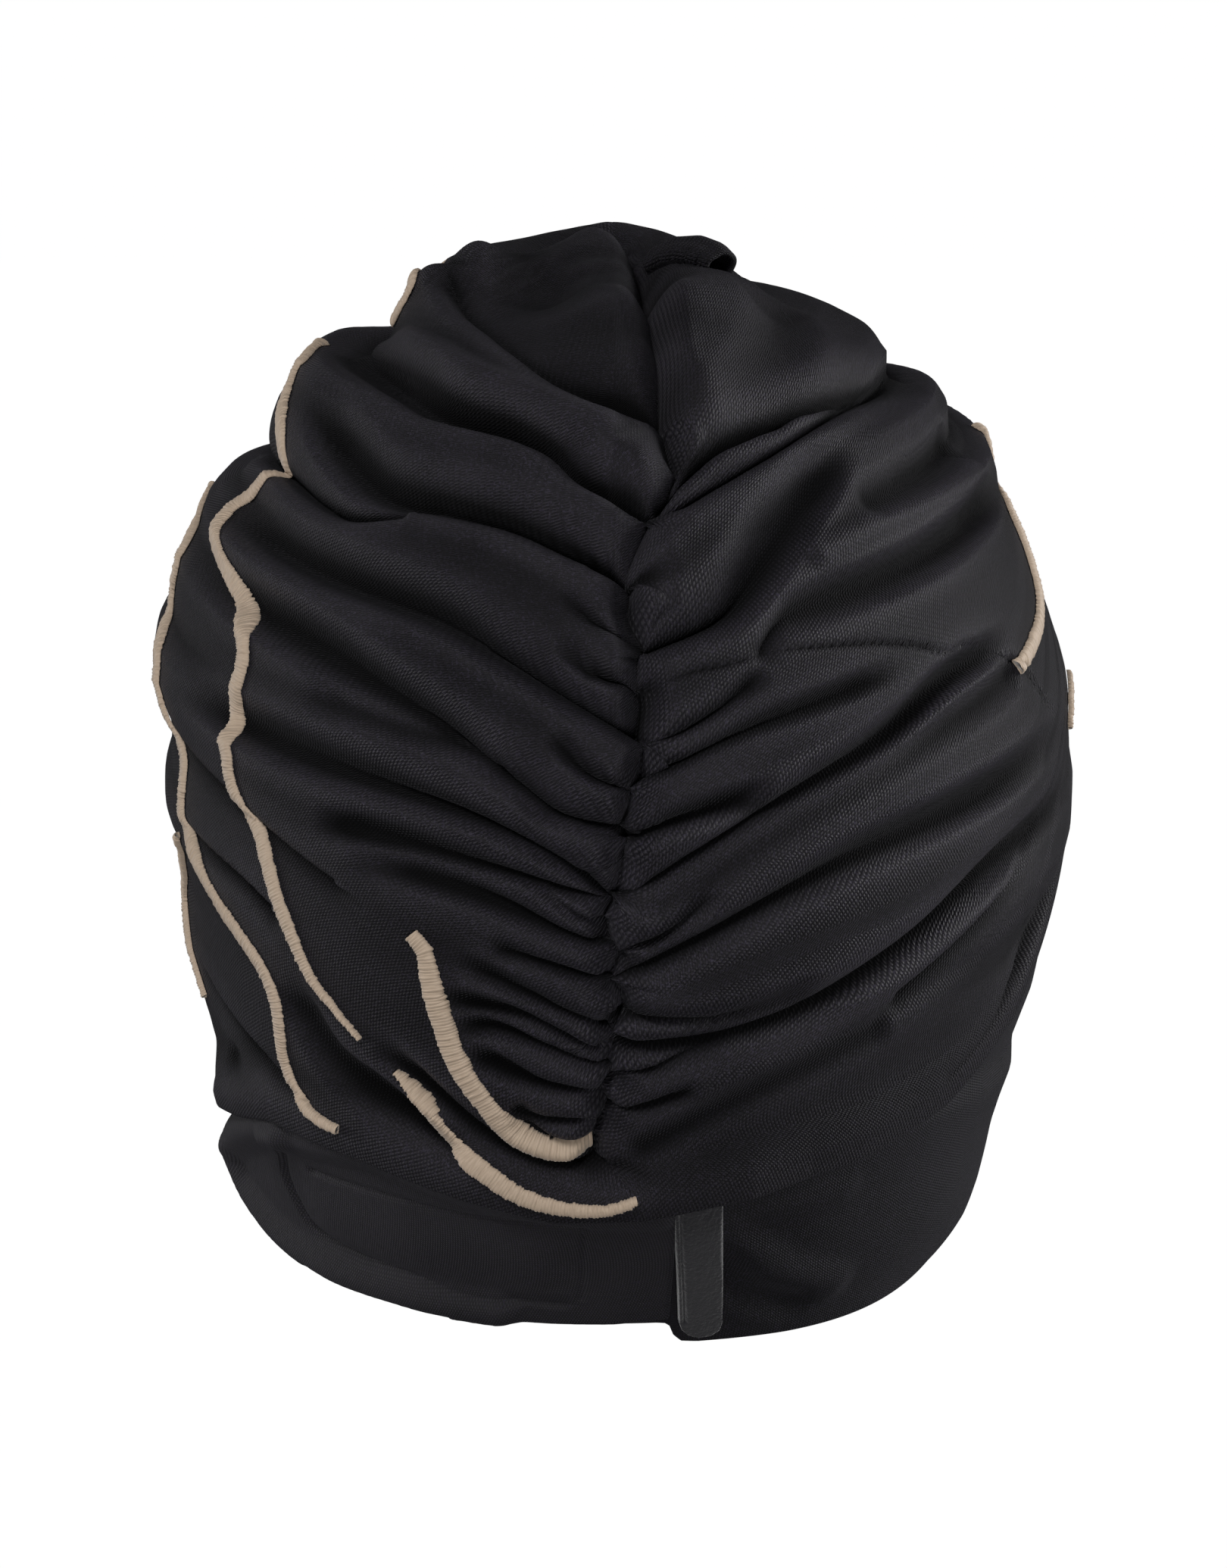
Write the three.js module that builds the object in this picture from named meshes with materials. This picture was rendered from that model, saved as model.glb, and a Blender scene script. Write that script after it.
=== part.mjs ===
// Turban-style swim cap of black tricot, filled out as a head fills it.
// The wearer faces +Y, the gathered seam runs down the back at -Y, +X is the wearer's right, +Z is up.
// Places on the cap are given as [turn, height]: degrees round from the centre back, plus to the
// wearer's right, and millimetres above the nape edge.
import * as THREE from 'three';

// ---------------------------------------------------------------- driving sizes (mm)
const CREST = 209;              // top of the smooth head form above the nape edge
const WIDEST = 100;             // height at which the form is widest
const HALF_WIDTH = 95;
const BACK_DEPTH = 106;
const FRONT_DEPTH = 102;
const NAPE_WIDTH_SHARE = 0.75;  // how far the form draws in towards the nape
const NAPE_DEPTH_SHARE = 0.7;
const FOREHEAD_EDGE = 98;       // height of the cap's edge at the forehead
const EDGE_POWER = 2.1;         // how late the edge climbs from the nape to the forehead
const FOLD_RISE = 0.65;         // how strongly the folds climb away from the seam
const FOLD_TURN = 28;           // degrees over which they climb
const WALL = 2;                 // cloth wall of the drapes
const SEAM_GAP = 0.4;           // between the two drapes
const REST_GAP = 0.35;          // between pieces that lie on each other
const BAND_OUT = -1.7;          // band surface, measured from the smooth form
const BAND_WALL = 1.2;
const BAND_TUCK = 5;            // how far the band runs up under the drapes
const BAND_SINK = -7.6;         // and how deep it lies there
const STRAP_WALL = 1.3;
const TAB_WALL = 1.9;
const STITCH_WALL = 0.9;        // height of the satin-stitched lines

const ROWS = 47;                // round each drape, from hem to crown
const COLUMNS = 21;             // from the back seam to the front
const FINE_ROWS_TO = 140;       // the rows are closer together below this height
const BAND_COLUMNS = 42;
const LINE_STEP = 3;

// ---------------------------------------------------------------- tables of the folds
// The cap's swell beyond the smooth form at each ear, by height at the ear.
const SIDE_SWELL = [
  { height: 0, left: 0, right: 0 },
  { height: 20, left: -0.5, right: -0.5 },
  { height: 45, left: -1.3, right: -2 },
  { height: 62, left: -2.8, right: -1.8 },
  { height: 70, left: -1.9, right: -1.4 },
  { height: 80, left: -2.6, right: -0.8 },
  { height: 90, left: -3.2, right: 1.4 },
  { height: 97, left: -0.8, right: 1.5 },
  { height: 103, left: 0.2, right: 1.8 },
  { height: 114, left: -1.2, right: 1.3 },
  { height: 118, left: 1, right: 1.8 },
  { height: 124, left: 4.1, right: 2.1 },
  { height: 136, left: 6, right: 2.3 },
  { height: 146, left: 5, right: 2.4 },
  { height: 153, left: 6.7, right: 2.8 },
  { height: 164, left: 6.2, right: 3.4 },
  { height: 170, left: 4.2, right: 6.2 },
  { height: 174, left: 2.4, right: 5.6 },
  { height: 179, left: 5.2, right: 5 },
  { height: 185, left: 6.3, right: 3.2 },
  { height: 187.5, left: 6.2, right: 1.7 },
  { height: 190.5, left: 5, right: 3.8 },
  { height: 194, left: 3.2, right: 5 },
  { height: 197, left: 4.2, right: 5 },
  { height: 200, left: 4.8, right: 3.4 },
  { height: 202.5, left: 7.8, right: 1.6 },
  { height: 205, left: 8.5, right: 2.4 },
  { height: 209, left: 8.2, right: 7 },
];

// The swell at the centre back, by height there.
const BACK_SWELL = [
  { height: 0, swell: 0.5 },
  { height: 30, swell: 1.2 },
  { height: 60, swell: 1.8 },
  { height: 110, swell: 3.4 },
  { height: 170, swell: 4.6 },
  { height: 209, swell: 7.6 },
];

// The gathered seam, from the crown down to the hem at the back.
const SEAM = [
  { height: 209, turn: 34 },
  { height: 207, turn: 20 },
  { height: 204, turn: 14 },
  { height: 200, turn: 11 },
  { height: 190, turn: 10 },
  { height: 180, turn: 9.8 },
  { height: 170, turn: 6.8 },
  { height: 160, turn: 2.8 },
  { height: 150, turn: 2 },
  { height: 138, turn: 3.2 },
  { height: 126, turn: 3.8 },
  { height: 118, turn: 2 },
  { height: 109, turn: 1.7 },
  { height: 99, turn: 0.2 },
  { height: 90, turn: -0.3 },
  { height: 80, turn: -0.5 },
  { height: 72, turn: -0.2 },
  { height: 66, turn: -1.6 },
  { height: 58, turn: -1.4 },
  { height: 50, turn: -2 },
  { height: 43, turn: -2.4 },
  { height: 40, turn: 0.4 },
  { height: 37, turn: 3 },
  { height: 30, turn: 5 },
];
const SEAM_DEPTH = 5.5;
const SEAM_REACH = 5;

// Creases: how deep at the seam end and at the outer end, how far each shoulder reaches up and down,
// and the route outwards. A short upper reach with a long lower one is the edge of a lapped layer.
const CREASES = [
  { near: 5.5, far: 4, up: 10, down: 5, path: [[5, 165.8], [0, 172], [-10, 178.3], [-21, 180.5], [-36, 184], [-62, 190], [-84, 193]] },
  { near: 5, far: 2.5, up: 9, down: 5, path: [[2.6, 155], [0, 157.3], [-18, 165], [-37, 170.5], [-52, 179], [-66, 187]] },
  { near: 2, far: 4, up: 7, down: 6, path: [[-30, 166], [-42, 165], [-52, 166], [-64, 170], [-78, 174]] },
  { near: 5, far: 3.5, up: 8, down: 4.5, path: [[3.5, 126], [0, 129.5], [-14, 141.5], [-25, 148.5], [-52, 156], [-74, 162]] },
  { near: 3.5, far: 0, up: 4, down: 3, path: [[3, 136.2], [-3, 139], [-8, 144.2]] },
  { near: 5, far: 4, up: 7, down: 5.5, path: [[1, 111], [-8.6, 113], [-12, 121], [-28, 133.5], [-45, 142.5], [-80, 153]] },
  { near: 3.5, far: 0, up: 4, down: 3, path: [[2.2, 117.5], [-3, 120.5], [-8.2, 128.5]] },
  { near: 5.5, far: 3, up: 7, down: 4.5, path: [[1, 97], [-6, 104.5], [-18, 112.8], [-40, 120.3], [-66, 128]] },
  { near: 4, far: 2.5, up: 5.5, down: 4, path: [[0, 95.5], [-8, 100], [-25, 106], [-37, 109]] },
  { near: 4.5, far: 2, up: 5.5, down: 4, path: [[0.5, 87], [-5, 90], [-16, 97.5], [-33, 103]] },
  { near: 3.5, far: 1, up: 4, down: 3, path: [[-0.4, 80.7], [-8, 84.7], [-15, 87.5]] },
  { near: 3.5, far: 1.5, up: 4, down: 3, path: [[0.2, 70.7], [-8, 76.3], [-19, 84.5]] },
  { near: 3.5, far: 2.5, up: 4, down: 3, path: [[-1.6, 66], [-10, 73], [-21, 76.3]] },
  { near: 3.5, far: 2.5, up: 4, down: 3, path: [[-1.8, 57.6], [-10, 60.3], [-18, 66]] },
  { near: 2.5, far: 1.5, up: 4, down: 3, path: [[-2.2, 51.8], [-10, 52.3], [-13, 55]] },
  { near: 3, far: 3, up: 5, down: 3.5, path: [[-1, 42], [-10.5, 43.5], [-21, 53], [-30, 66]] },
  { near: 3, far: 2, up: 7, down: 7, path: [[-21, 44], [-31, 53.5], [-38, 61], [-44, 78]] },
  { near: 1, far: 1.5, up: 2.5, down: 12, path: [[-34, 97], [-44, 104], [-54, 110], [-76, 119]] },
  { near: 2, far: 1, up: 2.5, down: 8, path: [[-45, 89], [-53, 94], [-74, 101]] },
  { near: 1.5, far: 1, up: 2.5, down: 8, path: [[-42, 50], [-56, 58], [-72, 69]] },
  { near: 3.5, far: 4, up: 9, down: 3, path: [[7, 170], [22, 178.5], [40, 185.5], [62, 191]] },
  { near: 4, far: 3.5, up: 5, down: 4.5, path: [[5.2, 165.3], [22, 174.5], [46, 183], [80, 187.5]] },
  { near: 5, far: 3, up: 9, down: 6, path: [[4.5, 143.5], [15, 149.7], [24, 162.5], [40, 178]] },
  { near: 3.5, far: 4.5, up: 5, down: 6, path: [[19, 143], [25, 148.7], [40, 153.7], [62, 160.7], [80, 165.5]] },
  { near: 4, far: 3.5, up: 5, down: 3.5, path: [[1, 97], [9, 105.5], [20, 115], [34, 124.5], [46, 133.5], [62, 138]] },
  { near: 3, far: 1, up: 3.5, down: 3, path: [[4, 125.3], [11, 130.5], [19, 138.5]] },
  { near: 3, far: 2, up: 3.5, down: 3, path: [[2.2, 118.5], [15, 127.5], [37, 136.5]] },
  { near: 4.5, far: 2, up: 4, down: 4, path: [[1.8, 107.5], [6, 111.5], [21, 117]] },
  { near: 3.5, far: 1, up: 4, down: 3, path: [[0.5, 87], [6, 90.5], [13, 99]] },
  { near: 3, far: 3.5, up: 6, down: 5, path: [[-0.4, 80.5], [8, 87.5], [20, 97], [36, 106], [76, 119]] },
  { near: 3, far: 1.5, up: 4, down: 3, path: [[0.2, 74], [12, 73.2], [27, 79]] },
  { near: 4, far: 5.5, up: 7, down: 5, path: [[-1.7, 67.3], [10, 68], [22, 72.7], [37, 83.5], [52, 94.5], [76, 105]] },
  { near: 4, far: 2, up: 4, down: 3, path: [[-0.2, 61.5], [5, 62.7], [16, 69]] },
  { near: 3, far: 1, up: 3.5, down: 3, path: [[-2.2, 52.5], [11, 59]] },
  { near: 1.5, far: 1.5, up: 2.5, down: 9, path: [[36, 74], [50, 86], [72, 106]] },
  { near: 1, far: 3, up: 6, down: 6, path: [[-62, 203], [-100, 200], [-150, 196]] },
  { near: 2, far: 2, up: 9, down: 9, path: [[-84, 193], [-120, 192], [-165, 178]] },
  { near: 2, far: 2, up: 9, down: 9, path: [[84, 187], [120, 186], [165, 172]] },
  { near: 2, far: 2, up: 9, down: 9, path: [[84, 164], [120, 166], [165, 150]] },
  { near: 2, far: 2, up: 9, down: 9, path: [[-84, 172], [-120, 170], [-165, 152]] },
  { near: 3.5, far: 2, up: 7, down: 7, path: [[180, 208], [180, 175], [180, 130]] },
];

// Broad swells and, where the rise is below zero, broad hollows.
const SWELLS = [
  { rise: -4, reach: 13, path: [[6, 183.5], [-6, 190.5], [-12, 197], [-38, 204.5]] },
  { rise: 2, reach: 6, path: [[1, 182.5], [-10, 185.5], [-38, 193], [-62, 196.5]] },
  { rise: -3, reach: 6, path: [[-9, 121], [-7, 114]] },
  { rise: -3.5, reach: 10, path: [[14, 177], [30, 188], [52, 199]] },
  { rise: 2, reach: 12, path: [[25, 200], [60, 203]] },
  { rise: -2.5, reach: 6, path: [[40, 166], [68, 173]] },
  { rise: -2.2, reach: 5, path: [[5, 96.5], [18, 109], [37, 121.5], [58, 131]] },
  { rise: -1.5, reach: 5, path: [[4, 47], [17, 57.5], [33, 67]] },
];

// The drapes' lower hem, all the way round.
const HEM = [
  { turn: -180, height: 123 },
  { turn: -150, height: 118 },
  { turn: -120, height: 92 },
  { turn: -95, height: 62 },
  { turn: -80, height: 46 },
  { turn: -70, height: 41 },
  { turn: -60, height: 42 },
  { turn: -50, height: 44.5 },
  { turn: -34, height: 41 },
  { turn: -20, height: 35.6 },
  { turn: -8, height: 32 },
  { turn: 4, height: 32.6 },
  { turn: 14, height: 35.3 },
  { turn: 34, height: 39.5 },
  { turn: 49, height: 47 },
  { turn: 63, height: 61 },
  { turn: 77, height: 90 },
  { turn: 85, height: 108 },
  { turn: 100, height: 122 },
  { turn: 130, height: 128 },
  { turn: 180, height: 123 },
];

// The band's edge is drawn up a little where the nape strap pulls on it.
const EDGE_LIFT = [
  { turn: -180, lift: 0 },
  { turn: -88, lift: 0 },
  { turn: -60, lift: 4.5 },
  { turn: -10, lift: 6.5 },
  { turn: 5, lift: 6 },
  { turn: 12, lift: 0 },
  { turn: 180, lift: 0 },
];

// The nape strap's lower and upper edges.
const STRAP = [
  { turn: -74, low: 22, high: 29 },
  { turn: -72, low: 17, high: 33.5 },
  { turn: -67, low: 12.5, high: 38 },
  { turn: -60, low: 9.5, high: 43.5 },
  { turn: -50, low: 7, high: 46.5 },
  { turn: -40, low: 5.4, high: 45 },
  { turn: -30, low: 4.7, high: 41.7 },
  { turn: -20, low: 4.8, high: 38.2 },
  { turn: -10, low: 4.8, high: 34.8 },
  { turn: 0, low: 5, high: 34 },
  { turn: 8.7, low: 6.2, high: 35.4 },
];

// The hook-and-loop tab at the strap's end.
const TAB = [
  { turn: 9.1, low: 4.2, high: 34.9 },
  { turn: 10, low: 2, high: 35 },
  { turn: 11.6, low: 1, high: 35.2 },
  { turn: 13.2, low: 1.6, high: 35.4 },
  { turn: 14.2, low: 3.8, high: 35.5 },
];

// Satin-stitched lines: width and route.
const LINES = [
  { name: 'line_left_long', width: 3.6, path: [[-84, 192], [-86, 185], [-78, 177], [-70, 170], [-76, 163],
    [-82, 156], [-69, 150], [-59, 145], [-56.5, 134], [-56.5, 120], [-52.5, 112], [-45.5, 100], [-42, 84],
    [-36, 74], [-31.5, 66.5]] },
  { name: 'line_left_outer', width: 3.4, path: [[-93, 168], [-96, 155], [-96, 140], [-93, 126], [-84, 116],
    [-77, 110], [-75, 103], [-62, 94], [-50, 78.5], [-47.6, 68], [-48, 56], [-45, 49], [-41, 47]] },
  { name: 'line_left_side', width: 2.8, path: [[-77, 98], [-71, 89], [-69, 80], [-68, 70], [-72, 62]] },
  { name: 'line_left_inner', width: 4.6, path: [[-24, 89], [-22.7, 82], [-19, 66], [-14.5, 53.5],
    [-10, 47], [-5.5, 45.2], [-3.2, 45.4]] },
  { name: 'line_left_hem', width: 3.8, path: [[-26.6, 59], [-22, 49], [-17, 41.2], [-12, 37.2], [-7, 35.2],
    [-1, 35], [2.4, 36]] },
  { name: 'line_crown', width: 3, path: [[-112, 207.5], [-101, 204.5], [-96, 200.5]] },
  { name: 'line_right_upper', width: 3.6, path: [[96, 182], [88, 172], [80, 162], [73, 152.5], [65.5, 140.5],
    [61.5, 133.5]] },
  { name: 'line_right_side', width: 3, path: [[87, 136], [89, 125], [83, 115.5]] },
];

// ---------------------------------------------------------------- colours
const CLOTH = new THREE.Color(0x1c1a20);
const CLOTH_SHEEN = new THREE.Color(0x232128);
const THREAD = new THREE.Color(0xcdb597);
const HOOK_TAPE = new THREE.Color(0x2b2930);

// ---------------------------------------------------------------- small numeric helpers
const radians = THREE.MathUtils.degToRad;
const clamp = THREE.MathUtils.clamp;
const lerp = THREE.MathUtils.lerp;

function smooth(low, high, value) {
  return THREE.MathUtils.smoothstep(value, low, high);
}

// Reads one column of a table whose rows are sorted by the key, either upwards or downwards.
function look(table, key, column, value) {
  const last = table.length - 1;
  const upward = table[last][key] > table[0][key];
  for (let i = 0; i < last; i += 1) {
    const a = table[i];
    const b = table[i + 1];
    const passed = upward ? value > b[key] : value < b[key];
    if (!passed || i === last - 1) {
      const share = clamp((value - a[key]) / (b[key] - a[key]), 0, 1);
      return lerp(a[column], b[column], share);
    }
  }
  return table[last][column];
}

// ---------------------------------------------------------------- the smooth head form
function edgeHeight(turn) {
  return FOREHEAD_EDGE * ((1 - Math.cos(radians(turn))) / 2) ** EDGE_POWER;
}

function sectionAt(height) {
  const above = clamp((height - WIDEST) / (CREST - WIDEST), 0, 1);
  const below = clamp((WIDEST - height) / WIDEST, 0, 1.2);
  const dome = Math.sqrt(1 - above * above);
  return {
    half: HALF_WIDTH * dome * (1 - (1 - NAPE_WIDTH_SHARE) * below ** 1.8),
    back: BACK_DEPTH * dome * (1 - (1 - NAPE_DEPTH_SHARE) * below ** 1.9),
    front: FRONT_DEPTH * dome * (1 - 0.12 * below ** 1.5),
  };
}

function formPoint(turn, height) {
  const section = sectionAt(height);
  const sine = Math.sin(radians(turn));
  const cosine = Math.cos(radians(turn));
  const depth = cosine > 0 ? section.back : section.front;
  return new THREE.Vector3(section.half * sine, -depth * cosine, height);
}

function formNormal(turn, height) {
  const point = formPoint(turn, height);
  const isBack = point.y < 0;
  if (height >= WIDEST) {
    const depth = isBack ? BACK_DEPTH : FRONT_DEPTH;
    const tall = CREST - WIDEST;
    const up = (height - WIDEST) / (tall * tall);
    return new THREE.Vector3(point.x / HALF_WIDTH ** 2, point.y / depth ** 2, up).normalize();
  }
  const here = sectionAt(height);
  const lower = sectionAt(height - 0.5);
  const depthHere = isBack ? here.back : here.front;
  const depthLower = isBack ? lower.back : lower.front;
  const widthSlope = (here.half - lower.half) / 0.5;
  const depthSlope = (depthHere - depthLower) / 0.5;
  const up = -(point.x ** 2 * widthSlope) / here.half ** 3 - (point.y ** 2 * depthSlope) / depthHere ** 3;
  return new THREE.Vector3(point.x / here.half ** 2, point.y / depthHere ** 2, up).normalize();
}

function placed(turn, height, out) {
  return formPoint(turn, height).addScaledVector(formNormal(turn, height), out);
}

// ---------------------------------------------------------------- fold rows
// A row runs round the cap from the seam and climbs as the folds do. Row 0 is the cap's edge, row 1 the crown.
function climb(turn) {
  return FOLD_RISE * (1 - Math.exp(-Math.abs(turn) / FOLD_TURN));
}

function rowHeight(turn, row) {
  const edge = edgeHeight(turn);
  return edge + (CREST - edge) * (row + climb(turn) * row * (1 - row));
}

function rowAt(turn, height) {
  const edge = edgeHeight(turn);
  const share = clamp((height - edge) / (CREST - edge), 0, 1);
  const rise = climb(turn);
  if (rise < 1e-6) {
    return share;
  }
  return (1 + rise - Math.sqrt((1 + rise) ** 2 - 4 * rise * share)) / (2 * rise);
}

// ---------------------------------------------------------------- folds
// A smooth route over the form through a few places.
function route(path, steps) {
  const flat = path.map(([turn, height]) => new THREE.Vector3(turn, height, 0));
  const curve = new THREE.CatmullRomCurve3(flat, false, 'catmullrom', 0.5);
  return curve.getPoints((path.length - 1) * steps).map((p) => [p.x, clamp(p.y, 0, CREST)]);
}

function prepared(path) {
  const places = route(path, 3);
  const points = places.map(([turn, height]) => formPoint(turn, height));
  const box = new THREE.Box3().setFromPoints(points);
  const outward = Math.sign(path[path.length - 1][0] - path[0][0]) || 1;
  return { points, box, outward };
}

const preparedCreases = CREASES.map((crease) => ({ ...crease, ...prepared(crease.path) }));
const preparedSwells = SWELLS.map((swell) => ({ ...swell, ...prepared(swell.path) }));
const seamRoute = prepared(SEAM.map(({ turn, height }) => [turn, height]));

// The nearest place on a prepared route: how far, how far along, and whether the point is above it.
function nearest(line, point, normal, limit) {
  const found = { distance: Infinity, along: 0, above: true };
  if (line.box.distanceToPoint(point) > limit) {
    return found;
  }
  const count = line.points.length - 1;
  const foot = new THREE.Vector3();
  const segment = new THREE.Line3();
  for (let i = 0; i < count; i += 1) {
    segment.set(line.points[i], line.points[i + 1]);
    const share = segment.closestPointToPointParameter(point, true);
    segment.at(share, foot);
    const distance = foot.distanceTo(point);
    if (distance < found.distance) {
      found.distance = distance;
      found.along = (i + share) / count;
      const across = normal.clone().cross(segment.delta(new THREE.Vector3()));
      found.above = across.dot(point.clone().sub(foot)) * line.outward > 0;
    }
  }
  return found;
}

function seamTurn(height) {
  return look(SEAM, 'height', 'turn', height);
}

function hemHeight(turn) {
  return look(HEM, 'turn', 'height', turn);
}

// The two sides swell alike where they meet at the front.
function frontShare(turn) {
  return smooth(125, 178, Math.abs(turn));
}

// How far the drape stands out from the smooth form at a place.
function drapeOut(turn, height) {
  const point = formPoint(turn, height);
  const normal = formNormal(turn, height);
  const row = rowAt(turn, height);
  const left = look(SIDE_SWELL, 'height', 'left', rowHeight(90, row));
  const right = look(SIDE_SWELL, 'height', 'right', rowHeight(90, row));
  const rightShare = turn < 0 ? 0.5 * frontShare(turn) : 1 - 0.5 * frontShare(turn);
  const side = lerp(left, right, rightShare);
  const back = look(BACK_SWELL, 'height', 'swell', rowHeight(0, row));
  const crown = smooth(CREST - 6, CREST, height);
  const sideShare = smooth(32, 76, Math.abs(turn)) * (1 - crown);
  let out = lerp(back, side, sideShare);
  for (const swell of preparedSwells) {
    const { distance } = nearest(swell, point, normal, swell.reach);
    const share = clamp(1 - (distance / swell.reach) ** 2, 0, 1);
    out += swell.rise * share * share;
  }
  let depth = 0;
  for (const crease of preparedCreases) {
    const { distance, along, above } = nearest(crease, point, normal, Math.max(crease.up, crease.down));
    const share = clamp(1 - distance / (above ? crease.up : crease.down), 0, 1);
    const strength = lerp(crease.near, crease.far, along) * (1 - smooth(0.8, 1, along));
    depth += (strength * share * share) ** 3;
  }
  const seam = nearest(seamRoute, point, normal, SEAM_REACH);
  const seamShare = clamp(1 - seam.distance / SEAM_REACH, 0, 1);
  depth += (SEAM_DEPTH * seamShare * seamShare) ** 3;
  const clear = height - hemHeight(turn);
  out -= Math.cbrt(depth) * smooth(0, 12, clear);
  const strapSide = smooth(-88, -76, turn) * (1 - smooth(18, 28, turn));
  const hemOut = lerp(0.9, 3.3, strapSide);
  return lerp(Math.max(out, hemOut), out, smooth(2, 13, clear));
}

// ---------------------------------------------------------------- closed sheets
// Rows of outer and inner points become one closed solid. A pole closes the last row with a fan.
function sheetSolid(outer, inner, outerPole, innerPole) {
  const rows = outer.length;
  const columns = outer[0].length;
  const points = [...outer.flat(), ...inner.flat()];
  const half = rows * columns;
  const faces = [];
  const quad = (a, b, c, d) => faces.push(a, b, c, a, c, d);
  for (let r = 0; r < rows - 1; r += 1) {
    for (let c = 0; c < columns - 1; c += 1) {
      const a = r * columns + c;
      quad(a, a + 1, a + columns + 1, a + columns);
      quad(half + a, half + a + columns, half + a + columns + 1, half + a + 1);
    }
  }
  for (let c = 0; c < columns - 1; c += 1) {
    quad(c, half + c, half + c + 1, c + 1);
  }
  for (let r = 0; r < rows - 1; r += 1) {
    const start = r * columns;
    const end = start + columns - 1;
    quad(start, start + columns, half + start + columns, half + start);
    quad(end, half + end, half + end + columns, end + columns);
  }
  const top = (rows - 1) * columns;
  if (outerPole) {
    const pole = points.length;
    points.push(outerPole, innerPole);
    for (let c = top; c < top + columns - 1; c += 1) {
      faces.push(c, c + 1, pole);
      faces.push(half + c, pole + 1, half + c + 1);
    }
    const last = top + columns - 1;
    quad(top, pole, pole + 1, half + top);
    quad(last, half + last, pole + 1, pole);
  } else {
    for (let c = top; c < top + columns - 1; c += 1) {
      quad(c, c + 1, half + c + 1, half + c);
    }
  }
  return solid(points, faces);
}

function solid(points, faces) {
  const geometry = new THREE.BufferGeometry();
  geometry.setFromPoints(points);
  geometry.setIndex(faces);
  geometry.computeVertexNormals();
  return geometry;
}

// ---------------------------------------------------------------- the two drapes
const drapeRows = Array.from({ length: ROWS }, (_, i) => {
  const share = i / ROWS;
  const low = hemHeight(0);
  const lean = Math.asin((FINE_ROWS_TO - WIDEST) / (CREST - WIDEST));
  const domed = Math.sin(lerp(lean, Math.PI / 2, (share - 0.6) / 0.4));
  const height = share < 0.6
    ? lerp(low, FINE_ROWS_TO, share / 0.6)
    : WIDEST + (CREST - WIDEST) * domed;
  return (height - low) / (CREST - low);
});

const drapeColumns = Array.from({ length: COLUMNS + 1 }, (_, i) => {
  const share = i / COLUMNS;
  return lerp(share, share ** 2, 0.62);
});

function aboveHem(turn, share) {
  return rowHeight(turn, lerp(rowAt(turn, hemHeight(turn)), 1, share));
}

// Turn and height of a row and column of one drape. side is -1 on the left and 1 on the right.
function drapePlace(side, rowShare, columnShare) {
  let backTurn = 0;
  for (let pass = 0; pass < 4; pass += 1) {
    backTurn = seamTurn(aboveHem(backTurn, rowShare));
  }
  const turn = lerp(backTurn, side * 180, columnShare);
  return [turn, aboveHem(turn, rowShare)];
}

function drapeGeometry(side) {
  const shift = new THREE.Vector3((side * SEAM_GAP) / 2, 0, 0);
  const layer = (drop) => drapeRows.map((rowShare) => {
    const row = drapeColumns.map((columnShare) => {
      const [turn, height] = drapePlace(side, rowShare, columnShare);
      return placed(turn, height, drapeOut(turn, height) - drop).add(shift);
    });
    return side < 0 ? row.reverse() : row;
  });
  const outerPole = placed(0, CREST, drapeOut(0, CREST)).add(shift);
  const innerPole = placed(0, CREST, drapeOut(0, CREST) - WALL).add(shift);
  return sheetSolid(layer(0), layer(WALL), outerPole, innerPole);
}

// ---------------------------------------------------------------- the band round the rim
// A closed ring of cloth: visible below the hem, and tucked under the drapes above it.
function bandGeometry() {
  const turns = Array.from({ length: BAND_COLUMNS }, (_, i) => -180 + (360 * i) / BAND_COLUMNS);
  const levels = [
    (turn) => [bandEdge(turn), BAND_OUT + 0.2],
    (turn) => [lerp(bandEdge(turn), hemHeight(turn), 0.45), BAND_OUT],
    (turn) => [hemHeight(turn) - 3.5, BAND_OUT],
    (turn) => [hemHeight(turn) + 0.5, BAND_OUT - 1.1],
    (turn) => [hemHeight(turn) + BAND_TUCK, BAND_SINK],
  ];
  const layer = (drop) => levels.map((level) => turns.map((turn) => {
    const [height, out] = level(turn);
    return placed(turn, height, out - drop);
  }));
  const outer = layer(0);
  const inner = layer(BAND_WALL);
  const points = [...outer.flat(), ...inner.flat()];
  const half = outer.length * BAND_COLUMNS;
  const faces = [];
  const at = (level, column) => level * BAND_COLUMNS + (column % BAND_COLUMNS);
  const quad = (a, b, c, d) => faces.push(a, b, c, a, c, d);
  for (let c = 0; c < BAND_COLUMNS; c += 1) {
    for (let r = 0; r < outer.length - 1; r += 1) {
      quad(at(r, c), at(r, c + 1), at(r + 1, c + 1), at(r + 1, c));
      quad(half + at(r, c), half + at(r + 1, c), half + at(r + 1, c + 1), half + at(r, c + 1));
    }
    quad(at(0, c), half + at(0, c), half + at(0, c + 1), at(0, c + 1));
    const top = outer.length - 1;
    quad(at(top, c), at(top, c + 1), half + at(top, c + 1), half + at(top, c));
  }
  return solid(points, faces);
}

function bandEdge(turn) {
  return edgeHeight(turn) + look(EDGE_LIFT, 'turn', 'lift', turn);
}

// ---------------------------------------------------------------- patches that lie on the band
function patchGeometry(table, turns, wall) {
  const under = BAND_OUT + 2 * REST_GAP;
  const layer = (out) => [0, 0.33, 0.67, 1].map((share) => turns.map((turn) => {
    const low = look(table, 'turn', 'low', turn);
    const high = look(table, 'turn', 'high', turn);
    return placed(turn, lerp(low, high, share), out);
  }));
  return sheetSolid(layer(under + wall), layer(under), null, null);
}

function strapGeometry() {
  const first = STRAP[0].turn;
  const last = STRAP[STRAP.length - 1].turn;
  const inner = Array.from({ length: 14 }, (_, i) => lerp(-66, 3, i / 13));
  return patchGeometry(STRAP, [first, -71.5, ...inner, last], STRAP_WALL);
}

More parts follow.
